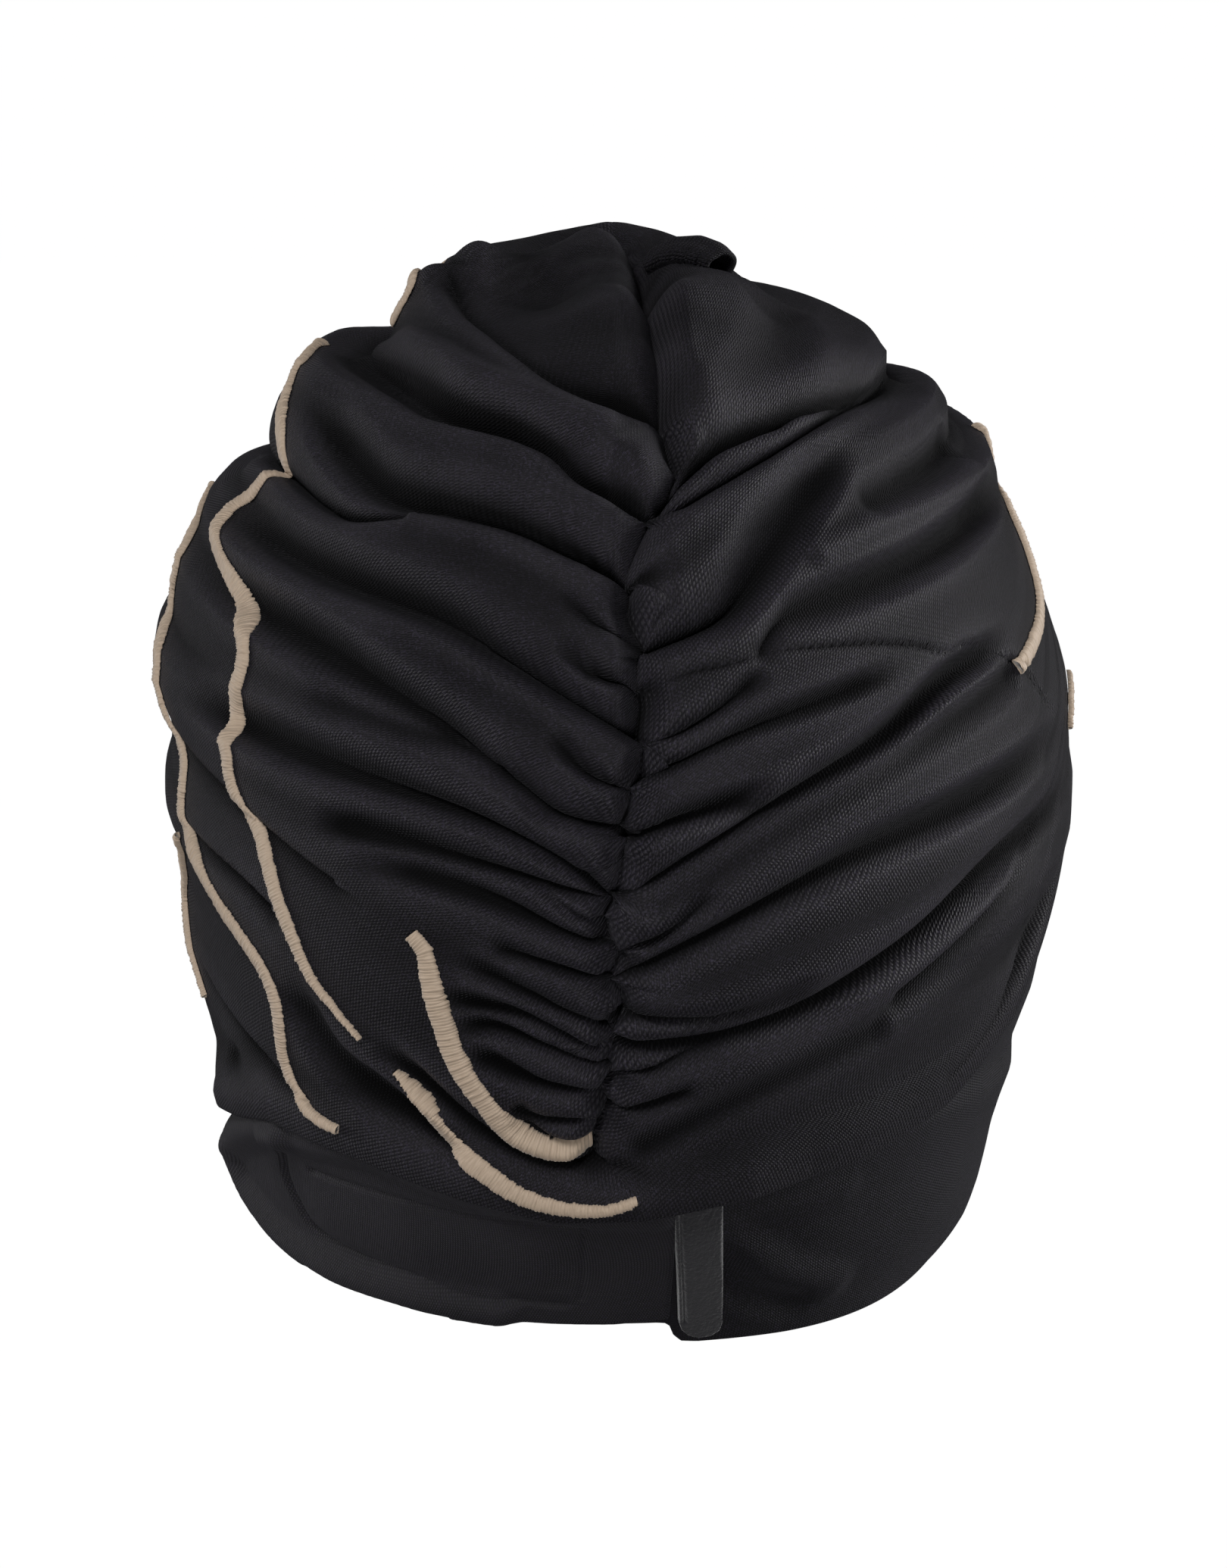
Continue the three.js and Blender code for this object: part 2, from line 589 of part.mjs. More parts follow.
function tabGeometry() {
  return patchGeometry(TAB, TAB.map(({ turn }) => turn), TAB_WALL);
}

// ---------------------------------------------------------------- the stitched lines
// How far the built surface stands out from the smooth form at a place.
function surfaceOut(meshes, point, normal) {
  const start = point.clone().addScaledVector(normal, 40);
  const ray = new THREE.Raycaster(start, normal.clone().negate(), 0, 60);
  const hits = ray.intersectObjects(meshes);
  return hits.length > 0 ? 40 - hits[0].distance : 0;
}

// A flat ribbon of thread that follows a route over the drapes and rests just above them.
function lineGeometry({ width, path }, meshes) {
  const places = route(path, 12);
  const all = places.map(([turn, height]) => formPoint(turn, height));
  const curve = new THREE.CurvePath();
  all.slice(1).forEach((point, i) => curve.add(new THREE.LineCurve3(all[i], point)));
  const stations = Math.round(curve.getLength() / LINE_STEP);
  const frames = [];
  for (let i = 0; i <= stations; i += 1) {
    const share = i / stations;
    const point = curve.getPointAt(share);
    const tangent = curve.getTangentAt(clamp(share, 0.001, 0.999));
    const normal = formNormal(THREE.MathUtils.radToDeg(Math.atan2(point.x, -point.y)), point.z);
    const across = new THREE.Vector3().crossVectors(tangent, normal).normalize();
    const taper = clamp((Math.min(share, 1 - share) * stations) / 2, 0.35, 1);
    frames.push({ point, tangent, normal, across, half: (width * taper) / 2 });
  }
  const outs = frames.map(({ point, tangent, normal, across, half }) => {
    let most = -Infinity;
    for (const ahead of [-1, -0.67, -0.33, 0, 0.33, 0.67, 1]) {
      for (const beside of [-1, -0.5, 0, 0.5, 1]) {
        const probe = point.clone()
          .addScaledVector(tangent, ahead * LINE_STEP)
          .addScaledVector(across, beside * (half + 0.2));
        most = Math.max(most, surfaceOut(meshes, probe, normal));
      }
    }
    return most + REST_GAP;
  });
  const edge = (beside, up) => frames.map(({ point, normal, across, half }, i) => point.clone()
    .addScaledVector(across, beside * half)
    .addScaledVector(normal, outs[i] + up));
  const upper = [edge(1, STITCH_WALL), edge(-1, STITCH_WALL)];
  const lower = [edge(1, 0), edge(-1, 0)];
  return sheetSolid(upper, lower, null, null);
}

// ---------------------------------------------------------------- the cap
function piece(name, geometry, color, roughness) {
  const material = new THREE.MeshStandardMaterial({ color, roughness, metalness: 0 });
  const mesh = new THREE.Mesh(geometry, material);
  mesh.name = name;
  return mesh;
}

const cap = new THREE.Group();
cap.name = 'swim_cap';

const drapes = [
  piece('left_drape', drapeGeometry(-1), CLOTH, 0.7),
  piece('right_drape', drapeGeometry(1), CLOTH, 0.7),
];
drapes.forEach((mesh) => mesh.updateMatrixWorld());
cap.add(...drapes);
cap.add(piece('rim_band', bandGeometry(), CLOTH_SHEEN, 0.65));
cap.add(piece('nape_strap', strapGeometry(), CLOTH_SHEEN, 0.65));
cap.add(piece('strap_tab', tabGeometry(), HOOK_TAPE, 0.95));
LINES.forEach((line) => cap.add(piece(line.name, lineGeometry(line, drapes), THREAD, 0.6)));

// The origin is where the wearer's crown bears on the inside of the cap.
cap.position.z = -(CREST + drapeOut(0, CREST) - WALL);

export default cap;
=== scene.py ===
"""Turban-style swim cap of black knitted tricot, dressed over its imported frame.

The wearer faces +Y and the gathered seam runs down the back at -Y. Places on the cap are given as
(turn, height): degrees round from the centre back, plus to the wearer's right, and millimetres
above the nape edge. Meshes are worked out in millimetres and stored in metres.
"""

from __future__ import annotations

import logging
import math
from collections.abc import Sequence
from dataclasses import dataclass, field
from enum import Enum
from typing import Any, NamedTuple

import bpy
import numpy as np
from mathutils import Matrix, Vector

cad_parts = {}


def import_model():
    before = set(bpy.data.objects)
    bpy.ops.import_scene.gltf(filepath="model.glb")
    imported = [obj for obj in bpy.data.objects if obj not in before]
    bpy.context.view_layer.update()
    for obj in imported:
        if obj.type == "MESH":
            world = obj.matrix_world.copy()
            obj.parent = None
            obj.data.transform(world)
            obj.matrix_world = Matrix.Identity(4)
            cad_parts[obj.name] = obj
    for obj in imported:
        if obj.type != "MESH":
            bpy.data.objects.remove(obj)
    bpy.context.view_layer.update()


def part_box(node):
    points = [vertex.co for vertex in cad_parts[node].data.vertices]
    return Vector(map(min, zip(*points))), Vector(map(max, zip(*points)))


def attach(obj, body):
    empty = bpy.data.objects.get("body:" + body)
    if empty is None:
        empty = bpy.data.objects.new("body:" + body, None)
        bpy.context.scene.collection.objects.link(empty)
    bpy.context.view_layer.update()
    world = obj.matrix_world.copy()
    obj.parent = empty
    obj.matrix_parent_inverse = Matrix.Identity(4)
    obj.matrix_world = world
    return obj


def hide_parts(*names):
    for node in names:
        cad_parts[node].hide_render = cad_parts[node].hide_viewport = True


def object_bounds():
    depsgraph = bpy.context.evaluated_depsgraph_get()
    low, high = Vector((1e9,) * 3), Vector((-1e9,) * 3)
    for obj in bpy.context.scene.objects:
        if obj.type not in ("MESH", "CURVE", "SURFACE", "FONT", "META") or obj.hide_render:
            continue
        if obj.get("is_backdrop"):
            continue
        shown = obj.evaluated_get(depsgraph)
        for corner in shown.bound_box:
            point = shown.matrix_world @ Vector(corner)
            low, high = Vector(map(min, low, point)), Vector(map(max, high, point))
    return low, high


LOG = logging.getLogger("swim_cap")
MM = 0.001
TINY = 1e-9
ROUND = np.linspace(0, math.pi, 7)[1:-1]  # Steps round a folded edge, between its two faces.
Array = np.ndarray
Path = Sequence[tuple[float, float]]


# ---------------------------------------------------------------- small numeric helpers
def smooth(low: float, high: float, value: Array) -> Array:
    """Eases from 0 at low to 1 at high.

    Args:
        low: Value at which the result is 0.
        high: Value at which the result is 1.
        value: Values to ease.

    Returns:
        The eased values.
    """
    share = np.clip((np.asarray(value, float) - low) / (high - low), 0.0, 1.0)
    return share * share * (3.0 - 2.0 * share)


def blend(low: Any, high: Any, share: Any) -> Any:
    """Mixes two values by a share from 0 to 1."""
    return low + (high - low) * share


def unit(vectors: Array) -> Array:
    """Scales vectors in the last axis to length 1."""
    return vectors / np.maximum(np.linalg.norm(vectors, axis=-1, keepdims=True), TINY)


def dome(share: Array) -> Array:
    """Falls from 1 at share 0 to 0 at share 1 and past it, as a low dome does."""
    return np.clip(1 - share**2, 0, 1)


def read_table(table: Array, at: Array, column: int = 1) -> Array:
    """Reads a column of a table between the places in its first column."""
    return np.interp(at, table[:, 0], table[:, column])


def lengths(points: Array) -> Array:
    """Running length along the first axis of a grid of points."""
    steps = np.linalg.norm(np.diff(points, axis=0), axis=-1)
    return np.concatenate([np.zeros_like(steps[:1]), np.cumsum(steps, 0)])


def on_flat_cloth(grid: Array) -> Array:
    """Places of a grid's points on the flat cloth: length along each row and up each column."""
    return np.stack([lengths(np.swapaxes(grid, 0, 1)).T, lengths(grid)], -1)


def closed(grid: Array) -> Array:
    """Closes a grid's rows to rings, by their first column once more at the end."""
    return np.concatenate([grid, grid[:, :1]], 1)


def spread(length: Array, spacing: Array, count: int) -> Array:
    """Places on a line, closer together where the spacing is small.

    Args:
        length: Lengths along a densely sampled line.
        spacing: The wanted spacing at each of them.
        count: Number of steps.

    Returns:
        Shares from 0 to 1 of the dense line's samples.
    """
    steps = np.diff(length) / (0.5 * (spacing[1:] + spacing[:-1]))
    passed = np.concatenate([[0.0], np.cumsum(steps)])
    samples = np.linspace(0, 1, len(length))
    return np.interp(np.linspace(0, passed[-1], count + 1), passed, samples)


def curve_through(path: Path, steps: int) -> Array:
    """Runs a smooth curve through a few places.

    Args:
        path: Places that the curve passes through.
        steps: Steps between two places.

    Returns:
        An array of places along the curve.
    """
    knots = np.asarray(path, float)
    knots = np.vstack([2 * knots[0] - knots[1], knots, 2 * knots[-1] - knots[-2]])
    places = []
    for before, here, there, after in zip(knots, knots[1:], knots[2:], knots[3:]):
        share = np.linspace(0.0, 1.0, steps, endpoint=False)[:, None]
        leave, arrive = 0.5 * (there - before), 0.5 * (after - here)
        square, cube = share**2, share**3
        places.append(
            (2 * cube - 3 * square + 1) * here
            + (cube - 2 * square + share) * leave
            + (3 * square - 2 * cube) * there
            + (cube - square) * arrive
        )
    return np.vstack([*places, knots[-2][None]])


class Ripple:
    """Smooth random values over a plane, the same in each run."""

    def __init__(self, seed: int, size: int = 256) -> None:
        """Draws the lattice of random values.

        Args:
            seed: Seed of the random draw.
            size: Lattice cells each way before the pattern repeats.
        """
        self.size = size
        self.lattice = np.random.default_rng(seed).uniform(-1.0, 1.0, (size, size))

    def at(self, across: Array, along: Array) -> Array:
        """Reads the values, which run from -1 to 1.

        Args:
            across: First coordinate, in lattice cells.
            along: Second coordinate, in lattice cells.

        Returns:
            One value for each pair of coordinates.
        """
        across, along = np.broadcast_arrays(np.asarray(across, float), along)
        row, column = np.floor(across).astype(int), np.floor(along).astype(int)
        down, side = across - row, along - column
        down, side = down * down * (3 - 2 * down), side * side * (3 - 2 * side)
        rows, columns = row % self.size, column % self.size
        below, right = (rows + 1) % self.size, (columns + 1) % self.size
        upper = blend(self.lattice[rows, columns], self.lattice[rows, right], side)
        lower = blend(self.lattice[below, columns], self.lattice[below, right], side)
        return blend(upper, lower, down)


# ---------------------------------------------------------------- tables of the cap's shape
class Crease(NamedTuple):
    """A crease: depth at its seam end and outer end, reach of each shoulder, crispness, route."""

    near: float
    far: float
    up: float
    down: float
    crisp: float
    path: Path


class Swell(NamedTuple):
    """A broad swell, or a hollow where the rise is below zero."""

    rise: float
    reach: float
    path: Path


class Wrinkles(NamedTuple):
    """Soft wrinkles: seed, fold rows and degrees from one to the next, and weight.

    They fade to the least share of their height over the turns from the seam that fade gives.
    """

    seed: int
    rows: float
    turns: float
    weight: float
    least: float
    fade: float


WRINKLES = (Wrinkles(11, 7.0, 22.0, 1.0, 0.35, 30.0), Wrinkles(23, 3.6, 12.0, 0.7, 0.0, 14.0))

# Swell beyond the smooth form at each ear, by height at the ear: height, left, right.
SIDE_SWELL = np.array(
    [
        (0, 0, 0), (20, -0.5, -0.5), (40, -2.5, -1.7), (46, -4.4, -2), (50, -5.2, -1.9),
        (54, -5.4, -1.9), (58, -4.8, -1.8), (62, -3, -1.8), (66, -2.8, -1.6), (72, -2.5, -1.3),
        (78, -2.3, -0.9), (84, -3.3, -1.2), (88, -3.6, -2.5), (92, -3.6, -1.7), (96, -3, 0.8),
        (100, -2.5, 1.5), (104, -0.7, 1.4), (108, -0.8, 1.5), (112, -1.7, 0.9), (116, -1.6, 1.1),
        (120, -1.3, 1.5), (124, 0.1, 2), (128, 2.6, 2.2), (132, 4.8, 2.2), (137, 5.2, 1.7),
        (142, 3.4, 1.6), (147, 4.7, 2), (152, 5.9, 2.2), (157, 4.5, 2.4), (161, 5.6, 2.5),
        (165, 4.7, 3.4), (168, 2.3, 5), (171, 2.2, 6), (174, 2.6, 2.6), (177, 3.9, 1.4),
        (180, 5.4, 4.8), (183, 6.2, 5.6), (186, 8, 1.5), (188.5, 6.8, 0.4), (190.5, 1.6, 4.4),
        (193, -2.4, 5), (196, 0.5, 4.5), (198.5, 4.7, 3.5), (201, 7.3, 1), (203.5, 9.4, -1.5),
        (206, 9.8, 1.5), (209, 9, 6.4),
    ]
)  # fmt: skip

# Swell at the centre back: height, swell.
BACK_SWELL = np.array([(0, 0.5), (30, 1.2), (60, 1.8), (110, 3.4), (170, 4.6), (209, 7.6)])

# The gathered seam from the crown down to the hem: height, turn.
SEAM = np.array(
    [
        (209, 34), (207, 20), (204, 14), (200, 11), (190, 10), (180, 9.8), (170, 6.8), (160, 2.8),
        (150, 2), (138, 3.2), (126, 3.8), (116.5, 2.3), (107.5, 0.6), (103.4, 1.4), (95, -0.3),
        (90.8, -0.5), (86.4, 1.1), (82.4, -1), (78.8, 0), (75.6, 1.4), (71.9, -0.5), (67.2, 1.3),
        (63.8, -0.6), (60.4, 0.6), (56.4, -1.7), (53.6, -0.7), (49.9, -2), (45, -2.8), (42.5, -2.3),
        (40, 0.4), (37, 3), (30, 5),
    ]
)  # fmt: skip

# The creases of the gathered cloth, from the seam outwards.
CREASES = (
    Crease(2.2, 3.2, 14, 5, 1, ((7, 184.5), (0.7, 186.3), (-11, 189.1), (-24.5, 193.8),
        (-32.1, 196.1), (-44, 198.4), (-60, 201), (-75, 203))),
    Crease(5.5, 4, 9, 5, 0.5, ((4.5, 166), (0, 169.7), (-5, 172.8), (-9.5, 177), (-14.5, 179.5),
        (-20, 181), (-33, 183.2), (-45, 186.5), (-60, 189), (-80, 190.5))),
    Crease(5, 3, 9, 5, 0.5, ((2.6, 155), (0, 156.8), (-6, 160), (-15, 164.5), (-27.5, 167.3),
        (-37, 169), (-45, 172.5), (-54, 177), (-66, 184))),
    Crease(2, 6, 9, 3.5, 1, ((-31, 164.5), (-38.5, 163.3), (-44, 164), (-52, 166.5), (-61, 169),
        (-72, 170.5), (-95, 170.5), (-130, 166))),
    Crease(5, 3.5, 8, 4.5, 0.5, ((3.5, 126), (0, 129.5), (-14, 141.5), (-25, 148.5), (-52, 156),
        (-74, 162))),
    Crease(3.5, 0, 4, 3, 0.8, ((3, 136.2), (-3, 139), (-8, 144.2))),
    Crease(5, 4, 7, 5.5, 0.6, ((1, 111), (-6, 113.2), (-11, 118.5), (-17, 125.5), (-28, 133.5),
        (-45, 142.5), (-80, 153))),
    Crease(3.5, 0, 4, 3, 0.8, ((2.2, 117.5), (-3, 120.5), (-8.2, 128.5))),
    Crease(5.5, 3, 7, 4.5, 0.6, ((1, 97), (-6, 104.5), (-18, 112.8), (-40, 120.3), (-66, 128))),
    Crease(4, 2.5, 5.5, 4, 0.5, ((0, 95.5), (-8, 100), (-25, 106), (-37, 109))),
    Crease(4.5, 2, 5.5, 4, 0.6, ((0.5, 87), (-5, 90), (-16, 97.5), (-33, 103))),
    Crease(3.5, 1, 4, 3, 0.8, ((-0.4, 80.7), (-8, 84.7), (-15, 87.5))),
    Crease(3.5, 1.5, 4, 3, 0.6, ((0.2, 70.7), (-8, 76.3), (-19, 84.5))),
    Crease(3.5, 2.5, 4, 3, 0.6, ((-1.6, 66), (-10, 73), (-21, 76.3))),
    Crease(3.5, 2.5, 4, 3, 0.6, ((-1.8, 57.6), (-10, 60.3), (-18, 66))),
    Crease(2.5, 1.5, 4, 3, 0.6, ((-2.2, 51.8), (-10, 52.3), (-13, 55))),
    Crease(3, 3, 5, 3.5, 0.7, ((-1, 42), (-10.5, 43.5), (-21, 53), (-30, 66))),
    Crease(3, 2, 7, 7, 0.2, ((-21, 44), (-31, 53.5), (-38, 61), (-44, 78))),
    Crease(1, 1.5, 2.5, 12, 1, ((-34, 97), (-44, 104), (-54, 110), (-76, 119))),
    Crease(2, 1, 2.5, 8, 1, ((-45, 89), (-53, 94), (-74, 101))),
    Crease(1.5, 1, 2.5, 8, 1, ((-42, 50), (-56, 58), (-72, 69))),
    Crease(4, 4, 9, 3, 1, ((7.5, 170), (15.5, 177), (22, 179.5), (28.5, 181), (35, 183),
        (43, 184.3), (55, 185.5), (70, 187.5))),
    Crease(4, 3.5, 5, 4.5, 1, ((5.2, 165.3), (22, 174.5), (46, 183), (80, 187.5))),
    Crease(5, 3, 9, 6, 0.4, ((4.5, 143.5), (15, 149.7), (24, 162.5), (40, 178))),
    Crease(1, 5, 5, 6, 0.3, ((18, 141.5), (20.5, 146), (25, 148.9), (40, 153.7), (62, 160.7),
        (80, 165.5))),
    Crease(4, 3.5, 5, 3.5, 0.5, ((1, 97), (9, 105.5), (20, 115), (34, 124.5), (46, 133.5),
        (62, 138))),
    Crease(3, 1, 3.5, 3, 0.8, ((4, 125.3), (11, 130.5), (19, 138.5))),
    Crease(3, 2, 3.5, 3, 0.6, ((2.2, 118.5), (15, 127.5), (37, 136.5))),
    Crease(4.5, 2, 4, 4, 0.6, ((1.8, 107.5), (6, 111.5), (21, 117))),
    Crease(3.5, 1, 4, 3, 0.8, ((0.5, 87), (6, 90.5), (13, 99))),
    Crease(3, 3.5, 6, 5, 0.6, ((-0.4, 80.5), (8, 87.5), (20, 97), (36, 106), (76, 119))),
    Crease(3, 1.5, 4, 3, 0.7, ((0.2, 74), (12, 73.2), (27, 79))),
    Crease(4, 5.5, 7, 5, 0.8, ((-1.7, 67.3), (10, 68), (22, 72.7), (37, 83.5), (52, 94.5),
        (76, 105))),
    Crease(4, 2, 4, 3, 0.7, ((-0.2, 61.5), (5, 62.7), (16, 69))),
    Crease(3, 1, 3.5, 3, 0.8, ((-2.2, 52.5), (11, 59))),
    Crease(1.5, 1.5, 2.5, 9, 1, ((36, 74), (50, 86), (72, 106))),
    Crease(1, 3, 6, 6, 0.2, ((-62, 203), (-100, 200), (-150, 196))),
    Crease(2, 2, 9, 9, 0.2, ((-84, 193), (-120, 192), (-165, 178))),
    Crease(2, 2, 9, 9, 0.2, ((84, 187), (120, 186), (165, 172))),
    Crease(2, 2, 9, 9, 0.2, ((84, 164), (120, 166), (165, 150))),
    Crease(2, 2, 9, 9, 0.2, ((-84, 172), (-120, 170), (-165, 152))),
    Crease(3.5, 2, 7, 7, 0.8, ((180, 208), (180, 175), (180, 130))),
    # Small creases between the rolls that butt on the seam.
    Crease(2, 0, 3, 2.5, 1, ((2, 144), (-3, 147.5), (-7, 152.5))),
    Crease(2.5, 0, 3, 2.5, 1, ((1.8, 107.5), (-2, 108.8), (-5, 110))),
    Crease(2.5, 0, 3, 2.5, 1, ((1.4, 104.3), (-3, 104), (-6, 106))),
    Crease(3.5, 1, 3.5, 3, 0.8, ((-0.8, 92.3), (-4, 94), (-7, 97), (-8.5, 100))),
    Crease(4, 3, 4, 3, 0.7, ((-0.2, 61.3), (-4, 64.3), (-9, 68), (-14, 70.3), (-20, 71.3))),
    Crease(3, 2, 3.5, 3, 0.7, ((-2.4, 47.5), (-6, 47), (-9.5, 48.7), (-13.5, 52.5))),
    Crease(2.5, 1, 6, 4, 0.2, ((-13, 123), (-22, 126), (-30, 129), (-40, 132))),
    Crease(2.5, 0.5, 3.5, 3, 0.8, ((9, 175.5), (14, 179.5), (18, 182))),
    Crease(2.5, 0.5, 3.5, 3, 0.8, ((3, 145.5), (5.5, 149.5), (9, 151))),
    Crease(2.5, 0, 3, 3, 1, ((-0.6, 79.5), (3, 79.3), (6, 78.5))),
    Crease(1.2, 1, 5, 5, 0.1, ((-62, 51), (-57, 47))),
    # The sewn panel seam on the right and the fold beside it.
    Crease(0.5, 1.1, 1.2, 1.2, 1, ((5.5, 136), (9, 137.9), (13.4, 139), (19.8, 141), (25.6, 141.3),
        (33, 141), (39.7, 139.8), (44.8, 137.8), (49.9, 138.6), (58.6, 134.4), (63.2, 130.1),
        (67.5, 122.8), (75, 114.4))),
    Crease(1.5, 1.5, 3, 6, 0.6, ((48, 52), (56, 60), (62, 69), (68, 78), (76, 92))),
)  # fmt: skip

# The swells and hollows of its folds.
SWELLS = (
    Swell(-5.5, 15, ((6, 185), (-4, 191), (-12, 197), (-34, 203))),
    Swell(2.4, 5.5, ((-2, 181.3), (-10, 182.7), (-16, 184), (-24, 185.8), (-31, 188), (-40, 190.5),
        (-55, 192.5), (-75, 192))),
    Swell(-1, 6, ((-9, 121), (-7, 114))),
    Swell(2.5, 8, ((-71, 201.5), (-65, 204.5))),
    Swell(-3.5, 10, ((14, 177), (30, 188), (52, 199))),
    Swell(2, 12, ((25, 200), (60, 203))),
    Swell(-2.5, 6, ((40, 166), (68, 173))),
    Swell(-2.2, 5, ((5, 96.5), (18, 109), (37, 121.5), (58, 131))),
    Swell(-1.5, 5, ((4, 47), (17, 57.5), (33, 67))),
    Swell(1.5, 4, ((28, 157.5), (41, 162.5), (54, 166), (68, 169.5))),
    # Pockets where the gathers pinch the seam.
    Swell(-4, 4.5, ((3.2, 130), (3.7, 135))),
    Swell(-3, 4, ((1, 156), (-1.5, 158))),
    Swell(-3, 4, ((1.8, 144), (2, 151))),
    Swell(-2.5, 3, ((2, 119), (2.6, 123))),
    Swell(-2.5, 3, ((1.5, 110), (1.6, 113))),
    Swell(-2.5, 3, ((-1.2, 91), (-0.8, 94))),
)  # fmt: skip

# The crown in plan, millimetres to the wearer's right and front: how far the cloth swells at each
# place. A lip stands at front -10 with a valley behind it, and a pleat at right 12 to 20.
CROWN_ACROSS = (-30, -25, -20, -15, -10, -5, 0, 5, 8, 12, 16, 20, 26)
CROWN_SWELL = {
    14: (7, 7, 7, 7, 7, 7.5, 8, 7.5, 7.2, 6.5, 5.5, 4, 3),
    6: (7.9, 8.2, 8, 7.9, 8.1, 8.7, 9.2, 8.7, 8, 7, 6, 4, 2.5),
    2: (7.8, 8, 6, 5, 6, 6.5, 7, 6.5, 5.5, 5, 4.5, 3, 2),
    -2: (7.8, 8, 4.5, 2.5, 3, 3.5, 3.5, 3, 1.5, 3, 3.5, 2.5, 2),
    -7: (8.4, 9.2, 6.2, 5.3, 6.9, 9.6, 8.8, 7, 2.3, 3, 3.5, 2.5, 2),
    -12: (8.2, 9, 5.2, 4.3, 5.2, 7.6, 7, 5.6, 1.2, 3, 3.5, 2.5, 2),
    -18: (7.8, 8.2, 4.2, 2, 2.8, 4.6, 4.6, 4, 0.8, 3.2, 4.5, 3.5, 2),
    -26: (7, 7, 4.5, 3, 2.4, 2.8, 3, 3, 1, 3, 4.5, 4, 2),
    -36: (6, 5.5, 4, 3.4, 3, 3, 3, 3, 1.5, 3, 4, 4, 3),
}
CROWN_CREASES = (
    Crease(2.5, 2.5, 5, 1.8, 1, ((-21, -4), (-17, -4), (-13, -4), (-7, -4), (-1, -4), (4, -4),
        (7, -6))),
)  # fmt: skip

# The drapes' lower hem all the way round: turn, height.
HEM = np.array(
    [
        (-180, 123), (-150, 118), (-120, 92), (-95, 62), (-80, 46), (-70, 41), (-60, 42),
        (-50, 44.5), (-34, 41), (-20, 35.6), (-8, 32), (4, 32.6), (14, 35.3), (34, 39.5), (49, 47),
        (63, 61), (77, 90), (85, 108), (100, 122), (130, 128), (180, 123),
    ]
)  # fmt: skip

# The band's edge is drawn up a little where the nape strap pulls on it: turn, lift.
EDGE_LIFT = np.array(
    [
        (-180, 0), (-95, 0), (-75, 1), (-60, 2.4), (-48, 3.4), (-30, 3.9), (-10, 4.2), (7, 4.3),
        (8.8, 4), (9.8, 1), (11.2, -0.6), (14, -1), (30, -1.2), (50, -0.8), (80, 0), (180, 0),
    ]
)  # fmt: skip

# Swell of the band at each ear, by height: height, left, right.
BAND_SWELL = np.array(
    [
        (0, 1.1, 1.6), (6, 1, 0.9), (12, 0.8, 1.4), (18, 1.5, 1.1), (24, 0.4, 0.4), (30, 0.3, -0.4),
        (36, -1.2, -0.4), (42, -3, 0), (48, -4.1, -1.6), (54, -4.2, -0.9), (60, -3.6, -0.1),
        (70, -1.2, 0), (90, 0, 0),
    ]
)  # fmt: skip

# The band's soft pulls beside the tab.
BAND_SWELLS = (
    Swell(1.0, 6, ((15, 31), (21, 30), (34, 32))),
    Swell(1.3, 7, ((15, 26), (20, 19.5), (27, 13.5), (36, 9.5))),
    Swell(-1.4, 6, ((16, 17), (21, 10), (29, 6))),
)  # fmt: skip

# The nape strap's edges and the tab's edges: turn, low, high.
STRAP = np.array(
    [
        (-74, 22, 29), (-72, 17, 33.5), (-67, 12.5, 38), (-60, 9.5, 43.5), (-50, 7, 46.5),
        (-40, 5.4, 45), (-30, 4.7, 41.7), (-20, 4.8, 38.2), (-10, 4.8, 34.8), (0, 5, 34),
        (8.7, 6.2, 35.4),
    ]
)  # fmt: skip
TAB = np.array(
    [
        (8.9, 5.6, 33.6), (9.3, 3.6, 34.6), (10.4, 2.1, 34.8), (12, 1.3, 34.8), (14, 1.6, 34.6),
        (15.3, 2.8, 34.4), (15.8, 5, 33.4),
    ]
)  # fmt: skip

# The strap's puffs and its folds, and the tab's sewn edge.
STRAP_SWELLS = (
    Swell(3.0, 6.5, ((-73, 28), (-71, 21), (-66, 17), (-59, 13.5), (-49, 11), (-39, 10), (-28, 8.8),
        (-18, 8))),
    Swell(2.4, 6, ((-70, 31), (-64, 35), (-57, 38.5), (-50, 40.5))),
    Swell(1.8, 5, ((-52, 39.5), (-33, 40.5), (-24, 37.5), (-16, 34.5), (-6, 32), (6, 31.5))),
    Swell(0.7, 9, ((-44, 24), (-30, 22), (-12, 20))),
)  # fmt: skip
STRAP_CREASES = (
    Crease(2.2, 1.0, 3.2, 1.8, 1, ((-52, 36), (-53, 30), (-52.3, 24.6), (-50, 18.7), (-42.6, 15.5),
        (-31.4, 13.6), (-21.7, 11.3), (-7.2, 10.2))),
    Crease(1.1, 0.8, 2, 1.4, 1, ((-46, 33.2), (-31.6, 31.5), (-21.3, 29.9), (-12, 29.2),
        (-3.8, 28.3))),
    Crease(0.7, 0.7, 0.9, 0.9, 1, ((-3.8, 28.3), (-4.2, 20), (-4.7, 11.8))),
    Crease(1.2, 0.9, 1.8, 1.6, 1, ((-54, 10.2), (-45.6, 7.4), (-37, 6.8), (-26, 6.4))),
)  # fmt: skip
TAB_CREASES = (
    Crease(0.9, 0.9, 0.8, 0.8, 1, ((8.9, 33.5), (9.3, 25), (10.2, 14), (10.9, 6))),
)  # fmt: skip

